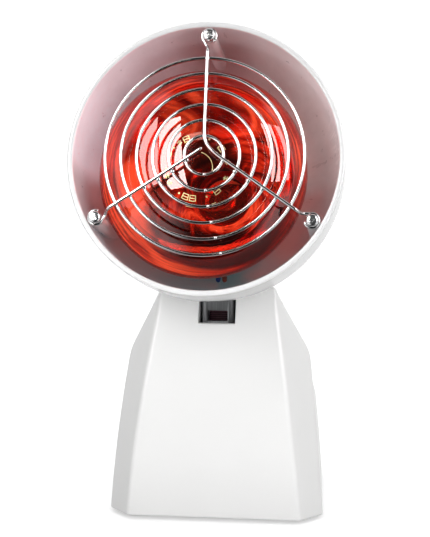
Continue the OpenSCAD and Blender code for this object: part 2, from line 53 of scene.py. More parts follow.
# ------------------------------------------------------------------ node material helpers
class Mat:
    """A small builder for procedural materials."""

    def __init__(self, name):
        self.m = bpy.data.materials.new(name)
        self.m.use_nodes = True
        self.nt = self.m.node_tree
        self.nt.nodes.clear()
        self.out = self.nt.nodes.new("ShaderNodeOutputMaterial")
        self.p = self.nt.nodes.new("ShaderNodeBsdfPrincipled")
        self.nt.links.new(self.p.outputs[0], self.out.inputs[0])
        self.co = self.nt.nodes.new("ShaderNodeTexCoord").outputs["Object"]

    def n(self, kind, **kw):
        x = self.nt.nodes.new(kind)
        for k, v in kw.items():
            setattr(x, k, v)
        return x

    def link(self, a, b):
        self.nt.links.new(a, b)

    def set(self, **kw):
        for k, v in kw.items():
            self.p.inputs[k.replace("_", " ")].default_value = v

    def mapped(self, scale=(1, 1, 1), rot=(0, 0, 0), loc=(0, 0, 0), src=None):
        x = self.n("ShaderNodeMapping")
        x.inputs["Scale"].default_value = scale
        x.inputs["Rotation"].default_value = rot
        x.inputs["Location"].default_value = loc
        self.link(src or self.co, x.inputs["Vector"])
        return x.outputs[0]

    def noise(self, scale, detail=3.0, rough=0.55, vec=None, dist=0.0):
        x = self.n("ShaderNodeTexNoise")
        x.inputs["Scale"].default_value = scale
        x.inputs["Detail"].default_value = detail
        x.inputs["Roughness"].default_value = rough
        x.inputs["Distortion"].default_value = dist
        self.link(vec or self.co, x.inputs["Vector"])
        return x.outputs[0]

    def ramp(self, fac, stops, interp="LINEAR"):
        x = self.n("ShaderNodeValToRGB")
        x.color_ramp.interpolation = interp
        e = x.color_ramp.elements
        while len(e) < len(stops):
            e.new(0.5)
        for i, (p, c) in enumerate(stops):
            e[i].position = p
            e[i].color = (*c, 1) if len(c) == 3 else c
        self.link(fac, x.inputs[0])
        return x.outputs[0]

    def remap(self, v, a, b, c, d, clamp=True):
        x = self.n("ShaderNodeMapRange", clamp=clamp)
        for k, q in zip(("From Min", "From Max", "To Min", "To Max"), (a, b, c, d)):
            x.inputs[k].default_value = q
        self.link(v, x.inputs[0])
        return x.outputs[0]

    def math(self, op, a, b=None, c=None):
        x = self.n("ShaderNodeMath", operation=op)
        for i, v in enumerate((a, b, c)):
            if v is None:
                continue
            if isinstance(v, (int, float)):
                x.inputs[i].default_value = v
            else:
                self.link(v, x.inputs[i])
        return x.outputs[0]

    def mix(self, fac, a, b):
        x = self.n("ShaderNodeMix", data_type="RGBA")
        for i, v in ((0, fac), (6, a), (7, b)):
            if isinstance(v, (int, float)):
                x.inputs[i].default_value = v
            elif isinstance(v, (tuple, list)):
                x.inputs[i].default_value = (*v, 1) if len(v) == 3 else v
            else:
                self.link(v, x.inputs[i])
        return x.outputs[2]

    def bump(self, height, strength=0.1, dist=0.0002, normal=None):
        x = self.n("ShaderNodeBump")
        x.inputs["Strength"].default_value = strength
        x.inputs["Distance"].default_value = dist
        self.link(height, x.inputs["Height"])
        if normal is not None:
            self.link(normal, x.inputs["Normal"])
        self.link(x.outputs[0], self.p.inputs["Normal"])
        return x.outputs[0]

    def color(self, c):
        self.link(c, self.p.inputs["Base Color"])

    def rough(self, r):
        self.link(r, self.p.inputs["Roughness"])


def plastic(name, c0, c1, rough=(0.3, 0.42), grain=2200, bump=0.05, coat=0.0, coat_rough=0.1, big=28):
    m = Mat(name)
    cloud = m.noise(big, 4, 0.6)
    m.color(m.mix(m.remap(cloud, 0.3, 0.7, 0, 1), c0, c1))
    fine = m.noise(grain, 2, 0.6)
    smudge = m.noise(big * 1.7, 3, 0.5)
    m.rough(m.math("ADD", m.remap(smudge, 0.3, 0.75, rough[0], rough[1]), m.remap(fine, 0.2, 0.8, -0.02, 0.02)))
    m.bump(fine, bump, 0.00012)
    m.set(IOR=1.5)
    m.p.inputs["Coat Weight"].default_value = coat
    m.p.inputs["Coat Roughness"].default_value = coat_rough
    return m.m


def metal(name, c0, c1, rough=(0.06, 0.14), scratch=900, bump=0.03, big=60, stretch=(1, 1, 1)):
    m = Mat(name)
    v = m.mapped(stretch)
    cloud = m.noise(big, 4, 0.6, vec=v)
    fine = m.noise(scratch, 3, 0.7, vec=v)
    m.color(m.mix(m.remap(cloud, 0.3, 0.7, 0, 1), c0, c1))
    m.rough(m.remap(m.math("ADD", m.math("MULTIPLY", cloud, 0.6), m.math("MULTIPLY", fine, 0.4)), 0.3, 0.7, rough[0], rough[1]))
    m.bump(fine, bump, 0.00008)
    m.set(Metallic=1.0)
    return m.m


M = {}
M["white"] = plastic("base_white_plastic", (0.815, 0.813, 0.808), (0.828, 0.826, 0.822), rough=(0.36, 0.40), bump=0.03, coat=0.15, coat_rough=0.25)
M["shade_out"] = plastic("shade_white_gloss", (0.83, 0.83, 0.835), (0.86, 0.86, 0.862), rough=(0.14, 0.22), bump=0.025, coat=0.4, coat_rough=0.06)
M["dark"] = plastic("switch_black_plastic", (0.018, 0.018, 0.02), (0.03, 0.03, 0.033), rough=(0.38, 0.5), grain=3200, bump=0.12)
M["rubber"] = plastic("black_rubber", (0.02, 0.02, 0.021), (0.04, 0.04, 0.042), rough=(0.6, 0.78), grain=1800, bump=0.2, big=90)
M["grey_rubber"] = plastic("grey_washer", (0.2, 0.2, 0.21), (0.28, 0.28, 0.29), rough=(0.6, 0.75), grain=1800, bump=0.2, big=90)
M["ivory"] = plastic("terminal_ivory", (0.72, 0.68, 0.56), (0.8, 0.76, 0.66), rough=(0.45, 0.55), big=80)
M["porcelain"] = plastic("glazed_porcelain", (0.8, 0.78, 0.72), (0.88, 0.86, 0.82), rough=(0.08, 0.16), grain=900, bump=0.05, coat=0.6, coat_rough=0.04, big=60)
M["zinc"] = metal("zinc_plated_steel", (0.58, 0.6, 0.63), (0.72, 0.73, 0.74), rough=(0.24, 0.4), scratch=1400, bump=0.08)
M["chrome"] = metal("chrome_wire", (0.70, 0.70, 0.705), (0.80, 0.80, 0.80), rough=(0.02, 0.045), scratch=1300, bump=0.015)
M["chrome_screw"] = metal("chrome_screw", (0.60, 0.60, 0.61), (0.72, 0.72, 0.725), rough=(0.18, 0.26), scratch=1500, bump=0.03)
M["brass"] = metal("brass", (0.72, 0.52, 0.2), (0.83, 0.64, 0.3), rough=(0.2, 0.36), scratch=1500, bump=0.06)
M["tungsten"] = metal("tungsten_wire", (0.3, 0.3, 0.31), (0.42, 0.42, 0.43), rough=(0.4, 0.55), scratch=2500, bump=0.1)
M["cap_metal"] = metal("lamp_cap_metal", (0.7, 0.69, 0.66), (0.8, 0.79, 0.76), rough=(0.2, 0.34), scratch=1200, bump=0.06)
M["vitrite"] = plastic("cap_black_glass", (0.015, 0.013, 0.014), (0.04, 0.03, 0.035), rough=(0.1, 0.2), big=90)
M["wire_brown"] = plastic("wire_sleeve_brown", (0.24, 0.035, 0.018), (0.32, 0.055, 0.025), rough=(0.35, 0.5), big=120)
M["wire_blue"] = plastic("wire_sleeve_blue", (0.02, 0.04, 0.22), (0.03, 0.06, 0.3), rough=(0.35, 0.5), big=120)


def steel_arm():
    m = Mat("arm_brushed_steel")
    v = m.mapped((2600, 60, 26))
    g = m.noise(1.0, 4, 0.7, vec=v)
    cloud = m.noise(45, 3, 0.6)
    m.color(m.mix(m.remap(g, 0.25, 0.75, 0, 1), (0.22, 0.225, 0.235), (0.44, 0.445, 0.455)))
    m.rough(m.remap(m.math("ADD", m.math("MULTIPLY", g, 0.5), m.math("MULTIPLY", cloud, 0.5)), 0.3, 0.7, 0.24, 0.42))
    m.bump(g, 0.22, 0.00006)
    m.set(Metallic=1.0)
    m.p.inputs["Anisotropic"].default_value = 0.4
    return m.m


M["arm"] = steel_arm()


def head_axes(m):
    """Head coordinates in metres: x, down, back along the axis."""
    v = m.mapped((1, 1, 1), rot=(rad(90 + TILT), 0, 0), src=m.mapped((1, 1, 1), loc=(0, -(OY - 33.9) * 0.001, -0.177)))
    sep = m.n("ShaderNodeSeparateXYZ")
    m.link(v, sep.inputs[0])
    return sep.outputs[0], sep.outputs[1], sep.outputs[2]


def shade_inside():
    """Metallised satin coating: soft reflections, faint streaks that run into the shade; the base colour is darker
    towards the bottom as painted shade, and an emitted painted sheen with painted highlight streaks lies on the side
    walls.
    """
    m = Mat("shade_metallised_inside")
    x, y, z = head_axes(m)
    ang = m.math("ARCTAN2", x, y)
    c, s_ = m.math("COSINE", ang), m.math("SINE", ang)

    def around(kz):
        comb = m.n("ShaderNodeCombineXYZ")
        m.link(c, comb.inputs[0])
        m.link(s_, comb.inputs[1])
        m.link(m.math("MULTIPLY", z, kz), comb.inputs[2])
        return comb.outputs[0]
    streak = m.noise(14, 4, 0.6, vec=around(9.0))
    wave = m.noise(3.2, 2, 0.5, vec=around(22.0))
    ripple = m.noise(60, 2, 0.6, vec=around(1.6), dist=0.8)
    pale = m.mix(m.remap(streak, 0.25, 0.75, 0, 1), (0.77, 0.59, 0.595), (0.83, 0.66, 0.665))
    # painted shade: the base colour turns darker towards the bottom (y runs down), under the bulb
    m.color(m.mix(m.remap(y, 0.012, 0.040, 0.0, 1.0), pale, (0.50, 0.45, 0.455)))
    m.rough(m.remap(streak, 0.25, 0.75, 0.26, 0.36))
    m.bump(wave, 0.30, 0.0006)
    m.set(Metallic=0.2)
    m.p.inputs["Sheen Weight"].default_value = 0.9
    m.p.inputs["Sheen Roughness"].default_value = 0.35
    m.p.inputs["Sheen Tint"].default_value = (1.0, 0.9, 0.93, 1)
    m.p.inputs["Coat Weight"].default_value = 0.55
    m.p.inputs["Coat Roughness"].default_value = 0.14
    # painted highlight: emitted streaks along a ripple in the coating on the right-hand wall, where it would catch the
    # light
    mask = m.math("MULTIPLY", m.remap(x, 0.044, 0.049, 0, 1), m.math("MULTIPLY", m.remap(y, -0.026, -0.018, 0, 1), m.remap(y, 0.002, 0.010, 1, 0)))
    mask = m.math("MULTIPLY", mask, m.math("MULTIPLY", m.remap(z, 0.008, 0.014, 0, 1), m.remap(z, 0.030, 0.044, 1, 0)))
    painted_ripple_streaks = m.remap(ripple, 0.50, 0.60, 0.0, 1.0)
    # painted sheen: an emitted glow on the satin side walls stands in for the light they gather, most of it on the
    # upper left, fading deeper in the shade
    up = m.math("MULTIPLY", y, -1.0)
    tl = m.math("ARCTAN2", up, m.math("MULTIPLY", x, -1.0))
    tr = m.math("ARCTAN2", up, x)

    def painted_glow(t, stops):
        deg = m.remap(t, rad(-60), rad(100), 0, 1)
        v = m.ramp(deg, [((d + 60) / 160, (g, g, g)) for d, g in stops], "EASE")
        return v
    left = painted_glow(tl, [(-18, 0.0), (-9, 0.05), (3, 0.95), (20, 0.96), (43, 0.56), (62, 0.28), (85, 0.0)])
    rgt = painted_glow(tr, [(-40, 0.0), (-12, 0.35), (4, 0.85), (23, 1.0), (40, 0.78), (62, 0.38), (85, 0.0)])
    wall = m.remap(z, 0.004, 0.050, 1.0, 0.45)
    painted_light = m.math("MULTIPLY", wall, m.math("ADD", m.math("MULTIPLY", left, 0.57), m.math("MULTIPLY", rgt, 0.35)))
    painted_light = m.math("MULTIPLY", painted_light, m.remap(streak, 0.3, 0.7, 0.93, 1.07))
    # painted light: a faint emitted glow low down in the shade, with a cool tint
    painted_bottom_glow = m.remap(y, 0.018, 0.040, 0.0, 1.0)
    painted_light = m.math("ADD", painted_light, m.math("MULTIPLY", painted_bottom_glow, 0.05))
    m.link(m.math("ADD", painted_light, m.math("MULTIPLY", m.math("MULTIPLY", mask, painted_ripple_streaks), 0.26)), m.p.inputs["Emission Strength"])
    # colour of the painted sheen: pinker on the left, warmer on the right
    painted_sheen_tint = m.mix(m.remap(x, -0.02, 0.02, 0, 1), (1.0, 0.80, 0.88), (1.0, 0.91, 0.87))
    m.link(m.mix(painted_bottom_glow, painted_sheen_tint, (0.25, 0.95, 1.0)), m.p.inputs["Emission Color"])
    return m.m


M["shade_in"] = shade_inside()


def red_glass():
    m = Mat("ruby_glass")
    c = m.noise(35, 4, 0.6)
    m.color(m.mix(m.remap(c, 0.3, 0.7, 0, 1), (0.95, 0.042, 0.014), (0.97, 0.058, 0.022)))
    fine = m.noise(1500, 2, 0.6)
    m.rough(m.remap(m.noise(120, 4, 0.6), 0.3, 0.7, 0.0, 0.02))
    wave = m.noise(42, 2, 0.5)
    m.bump(m.math("ADD", wave, m.math("MULTIPLY", fine, 0.01)), 0.06, 0.0004)
    m.set(IOR=1.66)
    m.p.inputs["Transmission Weight"].default_value = 1.0
    return m.m


M["red_glass"] = red_glass()


def clear_glass():
    m = Mat("stem_glass")
    c = m.noise(90, 3, 0.6)
    m.color(m.mix(m.remap(c, 0.3, 0.7, 0, 1), (0.9, 0.93, 0.93), (0.97, 0.98, 0.98)))
    m.rough(m.remap(c, 0.3, 0.7, 0.0, 0.06))
    m.bump(m.noise(400, 2, 0.5), 0.08, 0.0002)
    m.set(IOR=1.5)
    m.p.inputs["Transmission Weight"].default_value = 1.0
    return m.m


M["clear_glass"] = clear_glass()


def polar_noise(m, x, y, z, cx, cy, twist, kr, kz, scale, detail=4, dist=0.6):
    """Noise drawn out into arcs round (cx, cy)."""
    px, py = m.math("SUBTRACT", x, cx), m.math("SUBTRACT", y, cy)
    r = m.math("SQRT", m.math("ADD", m.math("MULTIPLY", px, px), m.math("MULTIPLY", py, py)))
    a = m.math("ADD", m.math("ARCTAN2", py, px), m.math("MULTIPLY", r, twist))
    comb = m.n("ShaderNodeCombineXYZ")
    m.link(m.math("COSINE", a), comb.inputs[0])
    m.link(m.math("SINE", a), comb.inputs[1])
    m.link(m.math("ADD", m.math("MULTIPLY", r, kr), m.math("MULTIPLY", z, kz)), comb.inputs[2])
    return m.noise(scale, detail, 0.6, vec=comb.outputs[0], dist=dist), r


def spot(m, x, y, cx, cy, rx, ry, soft=0.5):
    """1 inside an ellipse, fading to 0 outside it."""
    px = m.math("DIVIDE", m.math("SUBTRACT", x, cx), rx)
    py = m.math("DIVIDE", m.math("SUBTRACT", y, cy), ry)
    d = m.math("SQRT", m.math("ADD", m.math("MULTIPLY", px, px), m.math("MULTIPLY", py, py)))
    return m.remap(d, 1.0 - soft, 1.0 + soft, 1.0, 0.0)


def mirror():
    """Aluminium layer inside the bulb with painted reflections: wavy bands of emitted painted light run round it, with
    painted highlight and shade spots.
    """
    m = Mat("bulb_mirror_layer")
    x, y, z = head_axes(m)
    arcs, r = polar_noise(m, x, y, z, 0.004, 0.012, 38.0, 250.0, 60.0, 1.0, 4, 0.9)
    fine, _ = polar_noise(m, x, y, z, 0.002, 0.008, -30.0, 760.0, 160.0, 1.0, 5, 0.5)
    big, _ = polar_noise(m, x, y, z, 0.0, 0.0, 12.0, 60.0, 20.0, 1.3, 2, 0.3)
    sw = m.math("ADD", m.math("MULTIPLY", arcs, 0.6), m.math("MULTIPLY", fine, 0.4))
    # painted light and shade: bright and dark spots of the glow set where reflections and dark zones fall
    painted_light = None
    for cx, cy, rx, ry, v in ((0.004, 0.014, 0.020, 0.011, 0.15), (-0.0155, 0.0115, 0.009, 0.006, 0.07), (-0.029, -0.022, 0.007, 0.009, 0.13), (-0.0285, 0.0145, 0.008, 0.006, 0.12),
                              (0.015, -0.011, 0.009, 0.014, 0.08), (0.010, -0.022, 0.008, 0.006, 0.08), (-0.008, -0.0145, 0.010, 0.006, -0.14), (0.0035, 0.0275, 0.013, 0.005, -0.16),
                              (-0.022, 0.022, 0.008, 0.005, -0.12), (-0.0375, 0.009, 0.005, 0.007, -0.10), (0.0, -0.003, 0.010, 0.007, -0.08)):
        q = m.math("MULTIPLY", spot(m, x, y, cx, cy, rx, ry), v)
        painted_light = q if painted_light is None else m.math("ADD", painted_light, q)
    # painted shade: a darker ring in the glow, deeper towards the bottom
    ring = m.math("MULTIPLY", m.remap(r, 0.022, 0.028, 0.0, 1.0), m.remap(r, 0.0345, 0.0375, 1.0, 0.0))
    painted_light = m.math("SUBTRACT", painted_light, m.math("MULTIPLY", ring, m.remap(y, -0.03, 0.012, 0.02, 0.07)))
    sw = m.math("ADD", sw, m.math("ADD", painted_light, m.remap(big, 0.3, 0.7, -0.06, 0.06)))
    # painted reflection: the emitted colour runs from dark through red to bright along the swirl
    painted_glow = m.ramp(sw, [(0.40, (0.015, 0.01, 0.01)), (0.47, (0.05, 0.02, 0.02)), (0.53, (0.22, 0.06, 0.04)), (0.58, (0.62, 0.22, 0.13)), (0.64, (1.2, 1.2, 0.9)), (0.72, (1.7, 2.6, 2.4))])
    # painted reflection: a flat bright red patch above the middle
    flat = spot(m, x, y, 0.003, -0.0262, 0.0085, 0.0042, 0.12)
    painted_glow = m.mix(flat, painted_glow, (1.3, 0.55, 0.4))
    # painted reflection: bright emitted streaks in the outer band of the mirror, brighter towards the bottom
    thin, _ = polar_noise(m, x, y, z, 0.001, 0.003, 6.0, 430.0, 260.0, 1.1, 3, 0.5)
    low = m.remap(y, -0.030, 0.030, -0.02, 0.12)
    painted_outer_streaks = m.ramp(m.math("ADD", thin, low), [(0.42, (0.10, 0.015, 0.01)), (0.50, (0.28, 0.09, 0.07)), (0.55, (0.62, 0.6, 0.5)), (0.60, (1.2, 1.9, 1.6)), (0.70, (1.7, 3.0, 2.7))])
    painted_glow = m.mix(m.remap(r, 0.0355, 0.0395, 0.0, 1.0), painted_glow, painted_outer_streaks)
    # painted reflection: the metal's colour follows the swirl, giving darker and lighter reflection bands
    m.color(m.ramp(sw, [(0.36, (0.04, 0.035, 0.035)), (0.47, (0.12, 0.11, 0.10)), (0.56, (0.30, 0.28, 0.26)), (0.75, (0.6, 0.58, 0.56))]))
    m.rough(m.remap(sw, 0.3, 0.7, 0.22, 0.12))
    m.bump(sw, 0.25, 0.0006)
    m.set(Metallic=1.0)
    # the painted reflections are emitted
    m.link(painted_glow, m.p.inputs["Emission Color"])
    m.p.inputs["Emission Strength"].default_value = 0.6
    return m.m


M["mirror"] = mirror()


def gold():
    m = Mat("gold_marks")
    c = m.noise(1300, 3, 0.7)
    m.color(m.mix(m.remap(c, 0.35, 0.65, 0, 1), (0.62, 0.47, 0.16), (0.88, 0.76, 0.42)))
    m.rough(m.remap(c, 0.3, 0.7, 0.3, 0.5))
    m.bump(c, 0.2, 0.00003)
    m.set(Metallic=0.6)
    return m.m


M["gold"] = gold()


def sleeve():
    """Woven tube over the wires: fine rings of thread."""
    m = Mat("woven_sleeve")
    v = m.mapped((1, 1, 1), rot=(rad(28), 0, 0))
    w = m.n("ShaderNodeTexWave", wave_type="BANDS", bands_direction="Z")
    w.inputs["Scale"].default_value = 330
    w.inputs["Distortion"].default_value = 1.2
    w.inputs["Detail"].default_value = 2
    m.link(v, w.inputs["Vector"])
    x = m.n("ShaderNodeTexWave", wave_type="BANDS", bands_direction="X")
    x.inputs["Scale"].default_value = 480
    m.link(m.co, x.inputs["Vector"])
    h = m.math("ADD", m.math("MULTIPLY", w.outputs[1], 0.7), m.math("MULTIPLY", x.outputs[1], 0.3))
    m.color(m.ramp(h, [(0.1, (0.028, 0.010, 0.015)), (0.6, (0.075, 0.024, 0.036)), (0.95, (0.14, 0.055, 0.072))]))
    m.rough(m.remap(h, 0, 1, 0.85, 0.6))
    m.bump(h, 0.6, 0.0002)
    return m.m


M["sleeve"] = sleeve()

# ------------------------------------------------------------------ mesh helpers


def finish_mesh(ob, sharp=32.0):
    me = ob.data
    me.polygons.foreach_set("use_smooth", [True] * len(me.polygons))
    bm = bmesh.new()
    bm.from_mesh(me)
    for e in bm.edges:
        if len(e.link_faces) == 2:
            e.smooth = e.calc_face_angle(0) < rad(sharp)
        else:
            e.smooth = True
    bm.to_mesh(me)
    bm.free()
    me.update()


def obj_from(name, verts, faces, mats=(), idx=None):
    me = bpy.data.meshes.new(name)
    me.from_pydata([tuple(v) for v in verts], [], faces)
    me.update()
    ob = bpy.data.objects.new(name, me)
    scene.collection.objects.link(ob)
    for m in mats:
        me.materials.append(m)
    if idx is not None:
        me.polygons.foreach_set("material_index", idx)
    return ob


def recalc(ob):
    bm = bmesh.new()
    bm.from_mesh(ob.data)
    bmesh.ops.recalc_face_normals(bm, faces=bm.faces[:])
    bm.to_mesh(ob.data)
    bm.free()


def evaluated(ob):
    dg = bpy.context.evaluated_depsgraph_get()
    me = bpy.data.meshes.new_from_object(ob.evaluated_get(dg), preserve_all_data_layers=True, depsgraph=dg)
    return me


def apply_mods(ob):
    bpy.context.view_layer.update()
    me = evaluated(ob)
    ob.modifiers.clear()
    old = ob.data
    ob.data = me
    me.name = ob.name
    if old.users == 0:
        bpy.data.meshes.remove(old)
    return ob


def boolean(a, b, op="UNION", keep=False):
    m = a.modifiers.new("b", "BOOLEAN")
    m.operation = op
    m.object = b
    m.solver = "MANIFOLD"
    apply_mods(a)
    if not keep:
        bpy.data.objects.remove(b)
    return a


def bevel(ob, width_mm, segs=2, angle=30.0, clamp=True):
    m = ob.modifiers.new("v", "BEVEL")
    m.width = width_mm * 0.001 if max(ob.dimensions) < 1.0 else width_mm
    m.segments = segs
    m.limit_method = "ANGLE"
    m.angle_limit = rad(angle)
    m.use_clamp_overlap = clamp
    m.miter_outer = "MITER_ARC"
    return apply_mods(ob)


def lathe_data(profile, n=128, closed=True):
    """Revolves (r, a) points round the local Z axis. Where r is 0 the surface closes in a pole."""
    verts, faces, rows = [], [], []
    for r, a in profile:
        if r < 1e-6:
            rows.append([len(verts)] * n)
            verts.append(Vector((0, 0, a)))
        else:
            k = len(verts)
            rows.append([k + i for i in range(n)])
            verts += [Vector((r * math.cos(2 * math.pi * i / n), r * math.sin(2 * math.pi * i / n), a)) for i in range(n)]
    m = len(profile)
    for j in range(m if closed else m - 1):
        p, q = rows[j], rows[(j + 1) % m]
        for i in range(n):
            f = [p[i], p[(i + 1) % n], q[(i + 1) % n], q[i]]
            g = []
            for x in f:
                if x not in g:
                    g.append(x)
            if len(g) > 2:
                faces.append(g)
    return verts, faces


def lathe(name, profile, n=128, M4=None, mats=(), closed=True, pick=None):
    v, f = lathe_data(profile, n, closed)
    idx = None
    if pick:
        idx = []
        for g in f:
            c = sum((v[i] for i in g), Vector()) / len(g)
            idx.append(pick(math.hypot(c.x, c.y), c.z))
    ob = obj_from(name, v, f, mats, idx)
    recalc(ob)
    if M4 is not None:
        ob.data.transform(M4)
    return ob


def catmull(pts, n=6):
    P = [Vector(p) for p in pts]
    out = []
    for i in range(len(P) - 1):
        a = P[i - 1] if i else P[0] * 2 - P[1]
        b, c = P[i], P[i + 1]
        d = P[i + 2] if i + 2 < len(P) else P[-1] * 2 - P[-2]
        for k in range(n):
            t = k / n
            out.append(0.5 * ((2 * b) + (c - a) * t + (2 * a - 5 * b + 4 * c - d) * t * t + (3 * b - a - 3 * c + d) * t ** 3))
    out.append(P[-1])
    return out


def arc(cx, cy, r, a0, a1, n):
    return [(cx + r * math.cos(rad(a0 + (a1 - a0) * i / n)), cy + r * math.sin(rad(a0 + (a1 - a0) * i / n))) for i in range(n + 1)]


def sweep(name, pts, r, segs=16, mats=(), M4=None, ref=Vector((1, 0, 0)), round_ends=(False, False), radii=None):
    """A round wire along pts with parallel transported rings and closed ends."""
    P = [Vector(p) for p in pts]
    R = list(radii) if radii else [r] * len(P)
    for side in (0, 1):
        if not round_ends[side]:
            continue
        if side == 0:
            P.reverse()
            R.reverse()
        end, d = P[-1].copy(), (P[-1] - P[-2]).normalized()
        while len(P) > 3 and (P[-1] - end).length < r * 1.15:
            P.pop()
            R.pop()
        for a in (0, 25, 50, 70, 86):
            P.append(end + d * (r * math.sin(rad(a)) - r))
            R.append(r * math.cos(rad(a)))
        if side == 0:
            P.reverse()
            R.reverse()
    T = []
    for i in range(len(P)):
        a = P[i] - P[i - 1] if i else P[1] - P[0]
        b = P[i + 1] - P[i] if i < len(P) - 1 else a
        T.append((a.normalized() + b.normalized()).normalized())
    u = T[0].cross(ref)
    if u.length < 1e-3:
        u = T[0].cross(Vector((0, 1, 0.3)))
    u.normalize()
    verts, faces = [], []
    for i, p in enumerate(P):
        if i:
            q = T[i - 1].rotation_difference(T[i])
            u = (q @ u)
            u = (u - T[i] * u.dot(T[i])).normalized()
        v = T[i].cross(u)
        for k in range(segs):
            w = 2 * math.pi * k / segs
            verts.append(p + (u * math.cos(w) + v * math.sin(w)) * R[i])
    m = len(P)
    for i in range(m - 1):
        for k in range(segs):
            faces.append([i * segs + k, i * segs + (k + 1) % segs, (i + 1) * segs + (k + 1) % segs, (i + 1) * segs + k])
    faces.append([k for k in range(segs - 1, -1, -1)])
    faces.append([(m - 1) * segs + k for k in range(segs)])
    ob = obj_from(name, verts, faces, mats)
    recalc(ob)
    if M4 is not None:
        ob.data.transform(M4)
    return ob


def join(name, obs):
    """Joins objects with identity transforms into one mesh, materials kept by slot."""
    mats, verts, faces, idx = [], [], [], []
    for o in obs:
        k = len(verts)
        verts += [v.co.copy() for v in o.data.vertices]
        loc = []
        for m in o.data.materials:
            if m not in mats:
                mats.append(m)
            loc.append(mats.index(m))
        for p in o.data.polygons:
            faces.append([k + i for i in p.vertices])
            idx.append(loc[p.material_index] if loc else 0)
    ob = obj_from(name, verts, faces, mats, idx)
    for o in obs:
        me = o.data
        bpy.data.objects.remove(o)
        if me.users == 0:
            bpy.data.meshes.remove(me)
    return ob


def box_mm(name, lo, hi, M4=None, mats=()):
    x0, y0, z0 = lo
    x1, y1, z1 = hi
    v = [(x0, y0, z0), (x1, y0, z0), (x1, y1, z0), (x0, y1, z0), (x0, y0, z1), (x1, y0, z1), (x1, y1, z1), (x0, y1, z1)]
    f = [(0, 3, 2, 1), (4, 5, 6, 7), (0, 1, 5, 4), (1, 2, 6, 5), (2, 3, 7, 6), (3, 0, 4, 7)]
    ob = obj_from(name, v, f, mats)
    if M4 is not None:
        ob.data.transform(M4)
    return ob


def prism_mm(name, outline, z0, z1, M4=None, mats=()):
    """Extrudes a 2D outline (x, y) from z0 to z1."""
    n = len(outline)
    v = [(x, y, z0) for x, y in outline] + [(x, y, z1) for x, y in outline]
    f = [list(range(n - 1, -1, -1)), list(range(n, 2 * n))] + [[i, (i + 1) % n, n + (i + 1) % n, n + i] for i in range(n)]
    ob = obj_from(name, v, f, mats)
    recalc(ob)
    if M4 is not None:
        ob.data.transform(M4)
    return ob


def cyl_mm(name, r, z0, z1, n=48, M4=None, r2=None, mats=()):
    return lathe(name, [(0, z0), (r, z0), (r if r2 is None else r2, z1), (0, z1)], n, M4, mats, closed=False)


def keep(ob, body, mats=None, slot=None, replaces=(), sharp=32.0):
    if mats:
        ob.data.materials.clear()
        for m in mats:
            ob.data.materials.append(m)
    finish_mesh(ob, sharp)
    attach(ob, body)
    if replaces:
        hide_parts(*replaces)
    return ob


def from_cad(node, body, mat, slot, width=0.25, segs=2, angle=35.0, name=None):
    """A piece made from the node's own solid, welded, with its edges broken as the real one's are."""
    me = NODES[node].data.copy()
    ob = bpy.data.objects.new((name or node) + "_made", me)
    scene.collection.objects.link(ob)
    bm = bmesh.new()
    bm.from_mesh(me)
    bmesh.ops.remove_doubles(bm, verts=bm.verts[:], dist=1e-6)
    bmesh.ops.dissolve_limit(bm, angle_limit=rad(1.0), verts=bm.verts[:], edges=bm.edges[:])
    bmesh.ops.recalc_face_normals(bm, faces=bm.faces[:])
    bm.to_mesh(me)
    bm.free()
    if width:
        bevel(ob, width, segs, angle)
    return keep(ob, body, [mat], slot, [node])


# ------------------------------------------------------------------ base shell
PW, SH = 83.8, 78.1


def hw(s):
    return PW / 2 - 11.23 * s - 5.17 * s * s


def yf(s):
    return -12.33 * s + 38.08 * s * s - 1.39 * s ** 3


def smin(a, b, k):
    h = max(0.0, min(1.0, 0.5 + 0.5 * (b - a) / k))
    return b * (1 - h) + a * h - k * h * (1 - h)


def sho(z):
    return hw(SH / 120) + 10.23 + 2.51 * SH / 120 - (z - SH) * 0.5223


def ybk(z):
    return 104 - (28 * ((z - 45) / 66) ** 2 if z > 45 else 0)


def tap(z):
    return 5 + 8 * min(1.0, max(0.0, (z - 44) / 40))


def zroof(y):
    return 111.3 - math.tan(rad(8.5)) * (y - 20.5)


